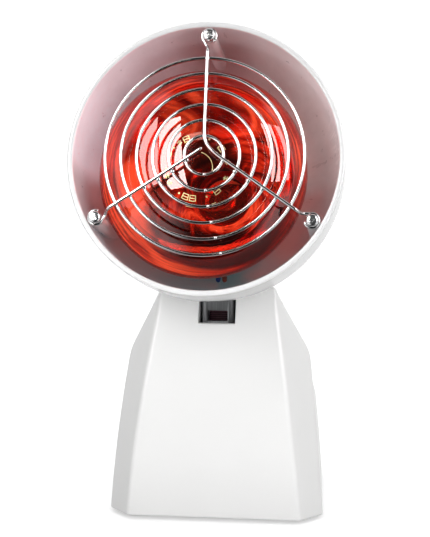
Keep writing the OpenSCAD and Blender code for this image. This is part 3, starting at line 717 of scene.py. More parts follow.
def section(z, d, nf=8, fr=6):
    """Columns of the outline at height z, set in by d: list of (x, y)."""
    s = z / 120
    h, w, g = hw(s), 10.23 + 2.51 * s, 12.24 + 13.35 * s
    lim = smin(h + w, sho(z), 1.6)
    q = max(0.06, min(1.0, (lim - h) / w))
    x1, y0, y1, yb = h + w * q, yf(s), yf(s) + g * q, ybk(z)
    xb = x1 - tap(z)
    c = [(h, y0), (x1, y1), (xb, yb), (-xb, yb), (-x1, y1), (-h, y0)]
    rr = [min(3.2, 9 * q), min(3.2, 9 * q), 11, 11, min(3.2, 9 * q), min(3.2, 9 * q)]
    C = [Vector(p) for p in c]
    n = 6
    K = []
    for i in range(n):
        a, b, e = C[i - 1], C[i], C[(i + 1) % n]
        u, v = (a - b).normalized(), (e - b).normalized()
        half = math.acos(max(-1, min(1, u.dot(v)))) / 2
        K.append(b + (u + v).normalized() * d / math.sin(half))
    F = []
    for i in range(n):
        a, b, e = K[i - 1], K[i], K[(i + 1) % n]
        u, v = (a - b).normalized(), (e - b).normalized()
        th = math.acos(max(-1, min(1, u.dot(v))))
        r = max(0.6, rr[i] - d)
        t = r / math.tan(th / 2)
        q0 = b + (u + v).normalized() * r / math.sin(th / 2)
        s0 = b + u * t - q0
        sg = 1 if u.x * v.y - u.y * v.x < 0 else -1
        row = []
        for k in range(nf + 1):
            w2 = sg * (math.pi - th) * k / nf
            row.append(q0 + Vector((s0.x * math.cos(w2) - s0.y * math.sin(w2), s0.x * math.sin(w2) + s0.y * math.cos(w2))))
        F.append(row)
    cols = []

    def span(a, b, m):
        return [a.lerp(b, k / m) for k in range(1, m)]

    # front panel from the left crease to the right one, with columns at the slot's edges
    a, b = F[5][-1], F[0][0]
    y = a.y
    sl = 8.9
    xs = [a.x + (-sl - 1.2 - a.x) * k / fr for k in range(1, fr)] + [-sl - 1.2, -sl - 0.5]
    xs += [-sl + 0.0, -sl * 0.5, 0.0, sl * 0.5, sl]
    xs += [sl + 0.5, sl + 1.2] + [sl + 1.2 + (b.x - sl - 1.2) * k / fr for k in range(1, fr)]
    cols += [Vector((x, y)) for x in xs]
    for i, m in ((0, 5), (1, 8), (2, 8), (3, 8), (4, 5), (5, 0)):
        cols += F[i]
        if m:
            cols += span(F[i][-1], F[(i + 1) % 6][0], m)
    return cols


def base_solid(name, zs, d0, drop, r_top, r_bot, z_bot):
    """A closed solid of the outline, from z_bot to the sloping roof lowered by drop."""
    rows = []
    if r_bot:
        for k in range(4):
            f = rad(90 * k / 4)
            rows.append([(p.x, p.y, z_bot + r_bot * (1 - math.cos(f))) for p in section(z_bot + r_bot * (1 - math.cos(f)), d0 + r_bot * (1 - math.sin(f)))])
    else:
        rows.append([(p.x, p.y, z_bot) for p in section(z_bot, d0)])
    for z in zs:
        rows.append([(p.x, p.y, z) for p in section(z, d0)])
    z0 = zs[-1]
    m = len(rows[0])
    steps = [("r", k / 7) for k in range(1, 8)] + ([("f", rad(90 * k / 6)) for k in range(1, 7)] if r_top else [])
    for kind, t in steps:
        row = []
        h = r_top if kind == "r" else r_top * (1 - math.sin(t))
        d = d0 if kind == "r" else d0 + r_top * (1 - math.cos(t))
        z = 106.0
        ztop = [106.0] * m
        for _ in range(4):
            new = []
            cache = {}
            for i in range(m):
                zz = ztop[i] if kind == "f" else (z0 + (ztop[i] - z0) * t)
                key = round(zz, 2)
                if key not in cache:
                    cache[key] = section(zz, d)
                y = cache[key][i].y
                if kind == "r":
                    keyt = round(ztop[i], 2)
                    if keyt not in cache:
                        cache[keyt] = section(ztop[i], d)
                    y = cache[keyt][i].y
                new.append(zroof(y) - drop - h)
            ztop = new
        for i in range(m):
            zz = ztop[i] if kind == "f" else (z0 + (ztop[i] - z0) * t)
            p = section(zz, d)[i]
            row.append((p.x, p.y, zz))
        rows.append(row)
    verts = [p for r in rows for p in r]
    faces = []
    for j in range(len(rows) - 1):
        for i in range(m):
            faces.append([j * m + i, j * m + (i + 1) % m, (j + 1) * m + (i + 1) % m, (j + 1) * m + i])
    faces.append([i for i in range(m - 1, -1, -1)])
    faces.append([(len(rows) - 1) * m + i for i in range(m)])
    ob = obj_from(name, verts, faces)
    recalc(ob)
    return ob


def build_base():
    zs = [3.0, 8, 14, 20, 26, 32, 38, 44, 50, 56, 62, 67, 71, 74, 76, 77.2, 78.1, 79, 80.2, 82, 85, 88, 91, 94]
    shell = base_solid("base_shell_made", zs, 0, 0, 2.2, 0.7, 1.6)
    inner = base_solid("inner", [8, 20, 32, 44, 56, 66, 74, 78.1, 82, 88, 94], 2.2, 2.2, 0, 0, 0.4)
    boolean(shell, inner, "DIFFERENCE")
    roof_in = [(8.3, 74), (14.2, 94), (21.4, 108), (22.4, 109.8), (62.2, 104.0), (62.2, 74)]
    parts = []
    side = Matrix(((0, 0, 1, 0), (1, 0, 0, 0), (0, 1, 0, 0), (0, 0, 0, 1)))
    for x in (-11.1, 8.9):
        parts.append(prism_mm("ck", roof_in, x, x + 2.2, side))
    parts.append(box_mm("ew", (-11.1, 60, 74), (11.1, 62.2, 104.0)))
    for p in ((-30, 17), (30, 17), (-38, 88), (38, 88)):
        parts.append(cyl_mm("post", 3.6, 4.6, 32.6, 40, Matrix.Translation((p[0], p[1], 0))))
    for q in parts:
        boolean(shell, q, "UNION")
    cutters = [box_mm("slot", (-8.9, -10, 93.9), (8.9, 60, 150))]
    rotx = Matrix.Rotation(rad(90), 4, "Y")
    cutters.append(cyl_mm("piv", 2.6, -30, 30, 40, Matrix.Translation((0, 36, 88)) @ rotx))
    for p in ((-30, 17), (30, 17), (-38, 88), (38, 88)):
        cutters.append(cyl_mm("ph", 1.55, 1.0, 20, 24, Matrix.Translation((p[0], p[1], 0))))
    cutters.append(cyl_mm("in", 5.1, 98, 110, 48, Matrix.Translation((-20, 0, 15)) @ Matrix.Rotation(rad(-90), 4, "X")))
    cutters.append(box_mm("sw", (11.6, 98, 17.5), (24.4, 110, 36.5)))
    for q in cutters:
        boolean(shell, q, "DIFFERENCE")
    bm = bmesh.new()
    bm.from_mesh(shell.data)
    bmesh.ops.remove_doubles(bm, verts=bm.verts[:], dist=1e-4)
    # break the outer edges of the slot
    sel = []
    for e in bm.edges:
        if len(e.link_faces) != 2 or e.calc_face_angle(0) < rad(40):
            continue
        a, b = e.verts[0].co, e.verts[1].co
        mid = (a + b) / 2
        on_x = abs(abs(a.x) - 8.9) < 0.02 and abs(abs(b.x) - 8.9) < 0.02
        front = abs(a.y - yf(a.z / 120)) < 0.15 and abs(b.y - yf(b.z / 120)) < 0.15
        top = abs(a.z - zroof(a.y)) < 0.1 and abs(b.z - zroof(b.y)) < 0.1
        if on_x and (front or top or mid.z > 108) and mid.z > 93.5:
            sel.append(e)
        elif abs(a.z - 93.9) < 0.02 and abs(b.z - 93.9) < 0.02 and front and abs(mid.x) < 8.95:
            sel.append(e)
        elif abs(a.y - 60) < 0.02 and abs(b.y - 60) < 0.02 and top:
            sel.append(e)
    bmesh.ops.bevel(bm, geom=sel, offset=0.4, segments=3, profile=0.5, affect="EDGES", clamp_overlap=False)
    bm.to_mesh(shell.data)
    bm.free()
    shell.data.transform(LAMP)
    return keep(shell, "base", [M["white"]], "white_shell", ["base_shell"], sharp=28)


build_base()

# ------------------------------------------------------------------ shade
BR, NR, DA, DL = 61.6, 27.0, 20.0, 52.0


def dome(t, d):
    return (NR - d + (BR - NR) * math.cos(rad(t)), DA + (DL - d) * math.sin(rad(t)))


def build_shade():
    wall = 2.1
    outer = [(59.9, 0.18), (60.15, 0.04), (60.5, 0.0), (61.3, 0.0), (61.65, 0.06), (61.92, 0.22), (62.06, 0.5), (62.1, 0.9),
             (62.1, 1.9), (62.05, 2.3), (61.9, 2.6), (61.7, 2.85), (61.6, 3.3), (61.6, 7), (61.6, 12), (61.6, 17)]
    outer += [dome(t, 0) for t in range(0, 84, 3)]
    outer += [(30.6, 71.7), (29.2, 71.95), (28.2, 72.2), (27.3, 72.45), (27.05, 72.6)]
    inner = [(24.9, 72.6), (24.9, 71.6), (25.1, 70.9), (25.9, 70.1), (27.4, 69.7)]
    inner += [dome(t, wall) for t in range(84, -1, -3)]
    inner += [(59.5, 16), (59.5, 10), (59.5, 4), (59.5, 1.0), (59.56, 0.62), (59.7, 0.35)]

    def pick(r, a):
        if a < 0.34:
            return 0
        edge = dome_r(a)
        return 1 if r < edge - 1.0 else 0

    def dome_r(a):
        if a <= DA:
            return BR
        if a < DA + DL:
            return NR + (BR - NR) * math.sqrt(max(0, 1 - ((a - DA) / DL) ** 2))
        return NR

    prof = outer + inner
    sh = lathe("shade_made", prof, 256, None, (M["shade_out"], M["shade_in"]), True, pick)
    lim = lathe("lim", [(0, 1.2)] + [(r - 0.9, a) for r, a in outer if a > 1.2 and a < 80] + [(0, 80)], 128, None, (M["shade_in"],), False)
    for g in (-90, 30, 150):
        R = Matrix.Rotation(rad(g), 4, "Z")
        post = lathe("post", [(0, 1.5), (2.55, 1.5), (2.8, 1.62), (2.92, 1.9), (3.0, 12), (3.3, 47.5), (0, 47.5)], 48, R @ Matrix.Translation((55.8, 0, 0)), (M["shade_in"],), False)
        rib = box_mm("rib", (55.8, -1, 2.2), (60.8, 1, 42.2), R, (M["shade_in"],))
        boolean(post, rib, "UNION")
        boolean(post, lim, "INTERSECT", keep=True)
        boolean(sh, post, "UNION")
    bpy.data.objects.remove(lim)
    for g in (-90, 30, 150):
        R = Matrix.Rotation(rad(g), 4, "Z")
        boolean(sh, cyl_mm("h", 1.4, 0, 14, 32, R @ Matrix.Translation((55.8, 0, 0))), "DIFFERENCE")
    boolean(sh, cyl_mm("h", 3.65, 58, 74, 40, Matrix.Translation((2.5, 37.5, 0))), "DIFFERENCE")
    sh.data.transform(HEAD)
    keep(sh, "head", None, "shade_white", ["shade"], sharp=32)
    nk = lathe("shade_neck_made", [(27.0, 72.62), (27.55, 72.7), (27.75, 73.1), (27.6, 73.6), (27.15, 74.1), (27.0, 74.8), (27.0, 90), (27.0, 105), (27.0, 120), (27.0, 137.3), (26.85, 137.75), (26.4, 138.0),
                                   (25.4, 138.0), (25.05, 137.75), (24.9, 137.3), (24.9, 120), (24.9, 100), (24.9, 85), (24.9, 72.62)], 128, None, (M["shade_out"], M["shade_in"]), True, lambda r, a: 1 if r < 25 else 0)
    rx = Matrix.Rotation(rad(-90), 4, "X")
    for a in (79.5, 89.5):
        boolean(nk, cyl_mm("h", 1.6, 0, 12, 32, Matrix.Translation((0, NR - 6, a)) @ rx), "DIFFERENCE")
    for s in (-1, 1):
        boolean(nk, cyl_mm("h", 1.6, 15, 35, 32, Matrix.Translation((0, 0, 123)) @ Matrix.Rotation(rad(s * 90), 4, "Y")), "DIFFERENCE")
        boolean(nk, cyl_mm("h", 1.3, 15, 35, 32, Matrix.Translation((0, 0, 133)) @ Matrix.Rotation(rad(s * 90), 4, "X")), "DIFFERENCE")
    nk.data.transform(HEAD)
    keep(nk, "head", None, "shade_white", ["shade_neck"], sharp=32)


build_shade()

# ------------------------------------------------------------------ bulb
B = 47.7
WIN = 37.4                       # radius where the mirror layer ends and the clear front begins


def front(t, d=0.0):
    return ((B - d) * max(0.0, math.sin(rad(t))) ** 0.93, 18 - (18.6 - d) * math.cos(rad(t)))


BACK = [(B - 0.35, 23), (B - 1.9, 28), (B - 4.7, 34), (B - 9.2, 42), (B - 15.5, 52), (B - 22.9, 62), (B - 28, 70), (B - 29.9, 76), (B - 30.8, 82), (B - 31.3, 90), (13.6, 95), (12.2, 97.5)]


def build_bulb():
    back = [(p.x, p.y) for p in catmull([(r, a, 0) for r, a in BACK], 3)]
    fr = [front(t) for t in [0, 1.5, 3, 5] + list(range(8, 91, 3))] + [front(90)]
    fr = [p for i, p in enumerate(fr) if i == 0 or p != fr[i - 1]]
    out = fr + back + [(12.2, 104), (12.2, 112), (11.2, 112), (11.2, 104), (11.2, 97.5)]
    bi = [(r - 1.0, a - (0.6 if a > 80 else 0.0)) for r, a in back][:-3]
    fi = [front(t, 1.0) for t in [0, 1.5, 3, 5] + list(range(8, 91, 3))]
    glass = lathe("bulb_glass_made", out + bi[::-1] + fi[::-1], 256, BULB, (M["red_glass"],), False)
    keep(glass, "head", None, "red_glass", ["bulb_glass"], sharp=60)
    # the mirror layer: from the edge of the clear front to the neck
    ts = [t for t in range(40, 91, 2) if front(t, 1.35)[0] > WIN - 1.4]
    outer = [front(t, 1.3) for t in ts] + [(r - 1.3, a) for r, a in back if a < 92]
    inner = [(r - 0.25, a + (0.0)) for r, a in outer]
    inner[0] = (outer[0][0] - 0.05, outer[0][1] + 0.25)
    v, f = lathe_data(outer + inner[::-1], 288, True)
    k = len(outer)
    w = []
    for i, p in enumerate(v):
        j = i // 288
        th = math.atan2(p.y, p.x) + p.z * 0.012
        q = Vector((math.cos(th) * 1.5, math.sin(th) * 1.5, p.z * 0.075))
        a = 0.42 * (noise.noise(q) + 0.45 * noise.noise(q * 2.3 + Vector((7, 3, 1)))) + 0.1
        a = max(0.0, a) * min(1.0, (p.z - 3) / 8)
        rr = math.hypot(p.x, p.y)
        w.append(Vector((p.x * (1 - a / rr), p.y * (1 - a / rr), p.z)))
    lay = obj_from("bulb_mirror_layer", w, f, (M["mirror"],))
    recalc(lay)
    lay.data.transform(BULB)
    keep(lay, "head", None, "cap_metal", (), sharp=60)


build_bulb()


def glass_point(ang, r, lift=0.0):
    """A point on the outside of the bulb's front at radius r."""
    t = math.degrees(math.asin(min(1.0, (r / B) ** (1 / 0.93))))
    _, a = front(t)
    return Vector((r * math.cos(ang), r * math.sin(ang), a - lift))


def build_marks():
    """Plain gold marks in a ring on the bulb's front: squares, dashes and dots, with a thin arc."""
    obs = []

    def patch(a0, a1, r0, r1, na, nr, lift=0.015, th=0.05):
        verts, faces = [], []
        for s in (lift + th, lift):
            for i in range(na + 1):
                for j in range(nr + 1):
                    verts.append(glass_point(a0 + (a1 - a0) * i / na, r0 + (r1 - r0) * j / nr, s))
        m = (na + 1) * (nr + 1)
        for i in range(na):
            for j in range(nr):
                q = i * (nr + 1) + j
                faces.append([q, q + 1, q + nr + 2, q + nr + 1])
                faces.append([m + q, m + q + nr + 1, m + q + nr + 2, m + q + 1])
        ring = [i * (nr + 1) for i in range(na + 1)] + [na * (nr + 1) + j for j in range(1, nr + 1)] + [i * (nr + 1) + nr for i in range(na - 1, -1, -1)] + [j for j in range(nr - 1, 0, -1)]
        for i in range(len(ring)):
            a, b = ring[i], ring[(i + 1) % len(ring)]
            faces.append([a, b, m + b, m + a])
        o = obj_from("mk", verts, faces, (M["gold"],))
        recalc(o)
        obs.append(o)

    def mark(ang, r, kind, s=1.0):
        w = s / r
        if kind == 0:      # open square with a bar
            for k in (-1.0, 0.9):
                patch(ang + k * w, ang + (k + 0.28) * w, r - s, r + s, 1, 3)
            for k in (-1.0, -0.1, 0.8):
                patch(ang - 0.7 * w, ang + 0.88 * w, r + k * s, r + (k + 0.26) * s, 3, 1)
        elif kind == 1:    # two dashes
            for k in (-0.6, 0.35):
                patch(ang - 0.9 * w, ang + 0.9 * w, r + k * s, r + (k + 0.34) * s, 3, 1)
            patch(ang - 0.16 * w, ang + 0.2 * w, r - s, r + s, 1, 3)
        else:              # dot
            patch(ang - 0.35 * w, ang + 0.35 * w, r - 0.35 * s, r + 0.35 * s, 2, 2)

    R0 = 13.8
    for k, kind in zip((96, 110, 124, 150, 164, 178, 206, 220, 234, 248, 292, 320, 350, 20, 48, 70), (0, 0, 2, 1, 1, 2, 1, 2, 1, 0, 2, 0, 1, 1, 0, 2)):
        mark(rad(k), R0, kind, 1.35 if kind == 0 else 1.1)
    patch(rad(-75), rad(20), 6.9, 7.15, 30, 1)
    patch(rad(60), rad(105), 17.6, 17.85, 16, 1)
    ob = join("bulb_marks", obs)
    ob.data.transform(BULB)
    keep(ob, "head", None, "brass", (), sharp=40)


build_marks()

# ------------------------------------------------------------------ guard
RO, RI, WR = 44.4, 8.7, 0.75
SC = 55.8


def ring_a(r):
    return -2.7 - 1.4 * (RO - r) / (RO - RI)


def spoke_a(r):
    return ring_a(r) - 1.38


def eye(g, back):
    uv = [(-9.6, 0, 9), (-7.9, 0, 8), (-6.6, 0, 3), (-5.4, -0.5, 1), (-4.3, -1.35, 0)] + [(3.15 * math.cos(rad(-138 + i * 15.7)) - 0.3, 3.15 * math.sin(rad(-138 + i * 15.7)), 0) for i in range(19)]
    out = []
    for p, q, k in uv:
        a = {9: spoke_a(46.6), 8: spoke_a(48) + 0.1, 3: -1.6, 1: 0.33, 0: 0.72}[k]
        u = SC + p
        out.append(Vector((u * math.cos(rad(g)) - q * math.sin(rad(g)), u * math.sin(rad(g)) + q * math.cos(rad(g)), a)))
    return out[::-1] if back else out


def chaikin(P, n=2):
    for _ in range(n):
        Q = [P[0]]
        for a, b in zip(P, P[1:]):
            Q += [a * 0.75 + b * 0.25, a * 0.25 + b * 0.75]
        Q.append(P[-1])
        P = Q
    return P


def dense(P, step=1.6):
    out = [P[0]]
    for a, b in zip(P, P[1:]):
        k = max(1, int((b - a).length / step))
        out += [a.lerp(b, i / k) for i in range(1, k + 1)]
    return out


def torus_mm(R, r, a, n=256, m=16):
    v, f = [], []
    for i in range(n):
        c, s = math.cos(2 * math.pi * i / n), math.sin(2 * math.pi * i / n)
        for j in range(m):
            w = 2 * math.pi * j / m
            v.append(((R + r * math.cos(w)) * c, (R + r * math.cos(w)) * s, a + r * math.sin(w)))
    for i in range(n):
        for j in range(m):
            f.append([i * m + j, ((i + 1) % n) * m + j, ((i + 1) % n) * m + (j + 1) % m, i * m + (j + 1) % m])
    o = obj_from("t", v, f, (M["chrome"],))
    recalc(o)
    return o


def blob(p, r, flat=(1, 1, 1), mat="chrome"):
    o = lathe("bl", [(0, -1)] + [(math.cos(rad(t)), math.sin(rad(t))) for t in range(-75, 76, 15)] + [(0, 1)], 20, Matrix.Translation(p) @ Matrix.Diagonal((r * flat[0], r * flat[1], r * flat[2], 1)), (M[mat],), False)
    return o


def build_guard():
    radii = [RI + (RO - RI) * i / 5 for i in range(6)]
    obs = [torus_mm(r, WR, ring_a(r), 288 if r > 20 else 160) for r in radii]
    for i, r in enumerate(radii):       # butt weld of each ring, low down
        g = rad(90 - 3 - i * 1.7)
        obs.append(blob(Vector((r * math.cos(g), r * math.sin(g), ring_a(r))), 0.93, (1, 1, 1)))
    ob = join("guard_rings_made", obs)
    ob.data.transform(HEAD)
    keep(ob, "head", None, "chrome_wire", ["guard_rings"], sharp=60)
    mid = [Vector(p) for p in ((0, -30, spoke_a(30)), (0, -9.2, spoke_a(9.2)), (0.35, -7.0, spoke_a(7)), (1.2, -4.9, spoke_a(5)), (2.6, -3.0, spoke_a(4)), (4.4, -1.3, spoke_a(4.6)),
                               (6.4, 0.3, spoke_a(6.4)), (8.6, 1.9, spoke_a(8.8)), (12, 4.1, spoke_a(12.6)), (26, 13.7, spoke_a(29)))]
    P = chaikin(eye(-90, True) + mid + eye(30, False), 2)
    o = sweep("guard_long_spoke_made", dense(P), WR, 16, (M["chrome"],), None, Vector((0.2, 0.1, 1)), (True, True))
    blobs = [blob(Vector((0, -r, ring_a(r) - 0.62)), 1.0, (0.9, 1.15, 0.72)) for r in radii[1:]]
    blobs += [blob(Vector((r * math.cos(rad(27.6 if r < 20 else 29.2)), r * math.sin(rad(27.6 if r < 20 else 29.2)), ring_a(r) - 0.62)), 1.0, (1.1, 1.0, 0.72)) for r in radii[1:]]
    o = join("guard_long_spoke_made", [o] + blobs)
    o.name = "guard_long_spoke_made"
    o.data.transform(HEAD)
    keep(o, "head", None, "chrome_wire", ["guard_long_spoke"], sharp=60)
    P = chaikin(eye(150, True) + [Vector((-20, 10, spoke_a(22))), Vector((-0.7, -3.0, spoke_a(3)))], 2)
    o = sweep("guard_short_spoke_made", dense(P), WR, 16, (M["chrome"],), None, Vector((0.2, 0.1, 1)), (True, True))
    blobs = [blob(Vector((r * math.cos(rad(150)), r * math.sin(rad(150)) - (2.0 if r < 12 else 0.4), ring_a(r) - 0.62)), 1.0, (1.1, 1.0, 0.72)) for r in radii]
    o = join("guard_short_spoke_made", [o] + blobs)
    o.name = "guard_short_spoke_made"
    o.data.transform(HEAD)
    keep(o, "head", None, "chrome_wire", ["guard_short_spoke"], sharp=60)
    sc = []
    for g in (-90, 30, 150):
        prof = [(0, 11), (1.1, 11), (1.35, 10.7), (1.35, -0.05), (2.55, -0.05), (2.8, -0.12), (2.9, -0.3), (2.9, -0.85), (2.84, -1.15), (2.65, -1.5), (2.3, -1.78), (1.8, -1.95), (1.2, -2.03), (0, -2.08)]
        s = lathe("sc", prof, 64, None, (M["chrome_screw"],), False)
        for q in (0, 90):
            c = obj_from("x", [(-1.75, -0.42, -2.6), (1.75, -0.42, -2.6), (1.75, 0.42, -2.6), (-1.75, 0.42, -2.6), (-0.8, -0.26, -0.75), (0.8, -0.26, -0.75), (0.8, 0.26, -0.75), (-0.8, 0.26, -0.75)],
                         [(0, 3, 2, 1), (4, 5, 6, 7), (0, 1, 5, 4), (1, 2, 6, 5), (2, 3, 7, 6), (3, 0, 4, 7)])
            recalc(c)
            c.data.transform(Matrix.Rotation(rad(q + 20 + g), 4, "Z"))
            boolean(s, c, "DIFFERENCE")
        s.data.transform(Matrix.Rotation(rad(g), 4, "Z") @ Matrix.Translation((SC, 0, 0)))
        sc.append(s)
    o = join("guard_screws_made", sc)
    o.data.transform(HEAD)
    keep(o, "head", None, "chrome_wire", ["guard_screws"], sharp=30)


build_guard()

# ------------------------------------------------------------------ tilt arm
ARM_SIDE = [(18.2, 79), (18.2, 110), (21.5, 114.5), (28.6, 124.5), (29.4, 129.9), (49.08, 124.18), (48.5, 112), (46, 90), (42, 80), (36, 77), (26, 76)]


def build_arm():
    w, t = 7.5, 1.2
    out = [(-w, 60)] + [(x, y) for x, y in arc(-w + 1.7, 18.3 + 1.7, 1.7, 180, 270, 6)] + [(x, y) for x, y in arc(w - 1.7, 18.3 + 1.7, 1.7, 270, 360, 6)] + [(w, 60)]
    inn = [(w - t, 60)] + [(x, y) for x, y in arc(w - 1.7, 18.3 + 1.7, 0.5, 360, 270, 4)] + [(x, y) for x, y in arc(-w + 1.7, 18.3 + 1.7, 0.5, 270, 180, 4)] + [(-w + t, 60)]
    ch = prism_mm("tilt_arm_made", out + inn, 70, 140)
    side = Matrix(((0, 0, 1, 0), (1, 0, 0, 0), (0, 1, 0, 0), (0, 0, 0, 1)))
    boolean(ch, prism_mm("s", ARM_SIDE, -9, 9, side), "INTERSECT")
    # the web stops below the shade
    boolean(ch, box_mm("c", (-6.2, 10, 109.6), (6.2, 19.6, 140)), "DIFFERENCE")
    win = [(x, y) for c in ((-4.4, 94.8, 180), (4.4, 94.8, 270), (4.4, 98.9, 0), (-4.4, 98.9, 90)) for x, y in arc(c[0], c[1], 0.5, c[2], c[2] + 90, 4)]
    boolean(ch, prism_mm("w", win, -30, -10, Matrix.Rotation(rad(90), 4, "X")), "DIFFERENCE")
    boolean(ch, cyl_mm("p", 2.55, -20, 20, 40, Matrix.Translation((0, 36, 88)) @ Matrix.Rotation(rad(90), 4, "Y")), "DIFFERENCE")
    tab = box_mm("tab", (-6.9, NR + 0.02, 75.6), (6.9, NR + 1.2, 92.6))
    for a in (79.5, 89.5):
        boolean(tab, cyl_mm("h", 1.6, -3, 6, 32, Matrix.Translation((0, NR, a)) @ Matrix.Rotation(rad(-90), 4, "X")), "DIFFERENCE")
    tab.data.transform(LAMP.inverted() @ HEAD)
    boolean(ch, tab, "UNION")
    ch.data.transform(LAMP)
    bevel(ch, 0.22, 2, 38)
    return keep(ch, "head", [M["arm"]], "arm_steel", ["tilt_arm"], sharp=34)


build_arm()

# ------------------------------------------------------------------ wires of the head and base
def head_wire(dx):
    P = [(dx * 1.6 + 2, 19.9, 129), (dx * 1.4 + 3, 21.4, 125), (dx * 1.2 + 3.4, 21.6, 108), (dx + 3.9, 21.6, 78), (dx * 0.87 + 4.1, 22.8 - dx * 0.1, 72.6), (dx * 0.87 + 4.1, 23.15 - dx * 0.1, 70.4),
         (dx * 0.9 + 4, 25.05 - dx * 0.1, 67.8), (dx + 3.8, 30, 62), (dx + 3.6, 40.5, 54), (dx + 3.6, 46, 50), (dx + 3.6, 48.4, 50.2), (dx + 3.6, 47.2, 53), (dx * 0.9 + 3, 42, 56.6), (dx * 0.78 + 2.5, 37.6, 59.5),
         (dx * 0.78 + 2.5, 37.5, 62.5), (dx * 0.78 + 2.5, 37.5, 74), (dx * 0.78 + 2.1, 40.2, 79), (dx * 0.78 + 0.3, 48.5, 80.2), (dx * 0.78, 53, 81.16), (dx * 0.78, 63, 83.34), (dx * 0.78, 67, 84.1), (dx * 0.78, 76.5, 82)]
    return dense(chaikin([Vector(p) for p in P], 3), 1.5)


for nm, dx, mt in (("head_wire_brown", 1.5, "wire_brown"), ("head_wire_blue", -1.5, "wire_blue")):
    keep(sweep(nm + "_made", head_wire(dx), 1.1, 14, (M[mt],), HEAD, Vector((1, 0, 0))), "head", None, mt, [nm], sharp=60)
for nm, s, mt in (("base_wire_brown", 1, "wire_brown"), ("base_wire_blue", -1, "wire_blue")):
    P = [(6 * s, 31, 9.6), (6 * s, 24, 9.8), (5.7 * s, 20.5, 14), (3.5 * s, 22, 30), (2 if s > 0 else -1.2, 25, 52), (1.9 if s > 0 else -1.1, 27, 74)]
    keep(sweep(nm + "_made", dense(chaikin([Vector(p) for p in P], 3), 1.5), 1.1, 14, (M[mt],), LAMP, Vector((1, 0, 0))), "base", None, mt, [nm], sharp=60)

# ------------------------------------------------------------------ smaller pieces, from their own solids
for node, body, mt, sl, wd in (
    ("base_plate", "base", "white", "white_shell", 0.2), ("rubber_feet", "base", "rubber", "black_rubber", 0.25), ("base_screws", "base", "zinc", "zinc_steel", 0.12),
    ("cord_bush", "base", "rubber", "black_rubber", 0.3), ("switch_body", "base", "dark", "dark_plastic", 0.25), ("terminal_block", "base", "ivory", "ivory_plastic", 0.25),
    ("terminal_screws", "base", "brass", "brass", 0.1), ("pivot_bolt", "base", "zinc", "zinc_steel", 0.2), ("pivot_nut", "base", "zinc", "zinc_steel", 0.2),
    ("friction_washers", "base", "grey_rubber", "grey_rubber", 0.1), ("arm_screws", "head", "zinc", "zinc_steel", 0.12), ("arm_nuts", "head", "zinc", "zinc_steel", 0.12),
    ("wire_bush", "head", "rubber", "black_rubber", 0.2), ("rear_cap", "head", "white", "white_shell", 0.2), ("rear_cap_screws", "head", "zinc", "zinc_steel", 0.1),
    ("holder_bridge", "head", "zinc", "zinc_steel", 0.15), ("bridge_screws", "head", "zinc", "zinc_steel", 0.1), ("lamp_holder", "head", "porcelain", "porcelain", 0.3),
    ("holder_sleeve", "head", "brass", "brass", 0), ("holder_contact", "head", "brass", "brass", 0.08), ("holder_screws", "head", "zinc", "zinc_steel", 0.12),
    ("bulb_cap", "head", "cap_metal", "cap_metal", 0), ("bulb_contact", "head", "vitrite", "cap_insulator", 0.15), ("bulb_stem", "head", "clear_glass", "clear_glass", 0.2),
    ("bulb_filament", "head", "tungsten", "tungsten", 0), ("wire_sleeve", "head", "sleeve", "sleeve_maroon", 0.2), ("switch_rocker", "switch_rocker_body", "dark", "dark_plastic", 0.3)):
    from_cad(node, body, M[mt], sl, wd)

# ------------------------------------------------------------------ floor, light, camera
floor_m = Mat("pale_floor")
fc = floor_m.noise(3.0, 4, 0.6)
floor_m.color(floor_m.mix(floor_m.remap(fc, 0.3, 0.7, 0, 1), (0.56, 0.56, 0.562), (0.58, 0.58, 0.58)))
floor_m.rough(floor_m.remap(floor_m.noise(40, 3, 0.6), 0.3, 0.7, 0.6, 0.75))
floor_m.set(Emission_Color=(1, 1, 1, 1), Emission_Strength=0.5)
fv, ff = [(0, 0, 0)], []
NR_, NS_ = 14, 96
for j in range(1, NR_ + 1):
    r = 0.62 * (j / NR_) ** 1.3
    fv += [(r * math.cos(2 * math.pi * i / NS_), r * math.sin(2 * math.pi * i / NS_), 0.0) for i in range(NS_)]
for i in range(NS_):
    ff.append([0, 1 + i, 1 + (i + 1) % NS_])
    for j in range(NR_ - 1):
        a, b = 1 + j * NS_ + i, 1 + j * NS_ + (i + 1) % NS_
        ff.append([a, a + NS_, b + NS_, b])
floor = obj_from("floor", fv, ff, (floor_m.m,))
floor.visible_glossy = False
floor.visible_diffuse = False
floor.visible_transmission = False

world = bpy.data.worlds.new("studio")
scene.world = world
world.use_nodes = True
wn = world.node_tree
wn.nodes.clear()
wo = wn.nodes.new("ShaderNodeOutputWorld")


def wnode(kind, ins=(), **kw):
    x = wn.nodes.new(kind)
    for k, v in kw.items():
        setattr(x, k, v)
    for i, v in enumerate(ins):
        if v is None:
            continue
        if isinstance(v, bpy.types.NodeSocket):
            wn.links.new(v, x.inputs[i])
        else:
            x.inputs[i].default_value = v
    return x


def wramp(fac, stops):
    x = wnode("ShaderNodeValToRGB", (fac,))
    e = x.color_ramp.elements
    while len(e) < len(stops):
        e.new(0.5)
    for i, (p, v) in enumerate(stops):
        e[i].position = p
        e[i].color = (v, v, v * 1.01, 1)
    return x.outputs[0]


def wmath(op, a, b=None, c=None):
    return wnode("ShaderNodeMath", (a, b, c), operation=op).outputs[0]


def wband(v, lo, hi, soft):
    def edge(a, b):
        x = wnode("ShaderNodeMapRange", (v, a, b, 0.0, 1.0), interpolation_type="SMOOTHSTEP")
        return x.outputs[0]
    return wmath("MULTIPLY", edge(lo - soft, lo + soft), wmath("SUBTRACT", 1.0, edge(hi - soft, hi + soft)))


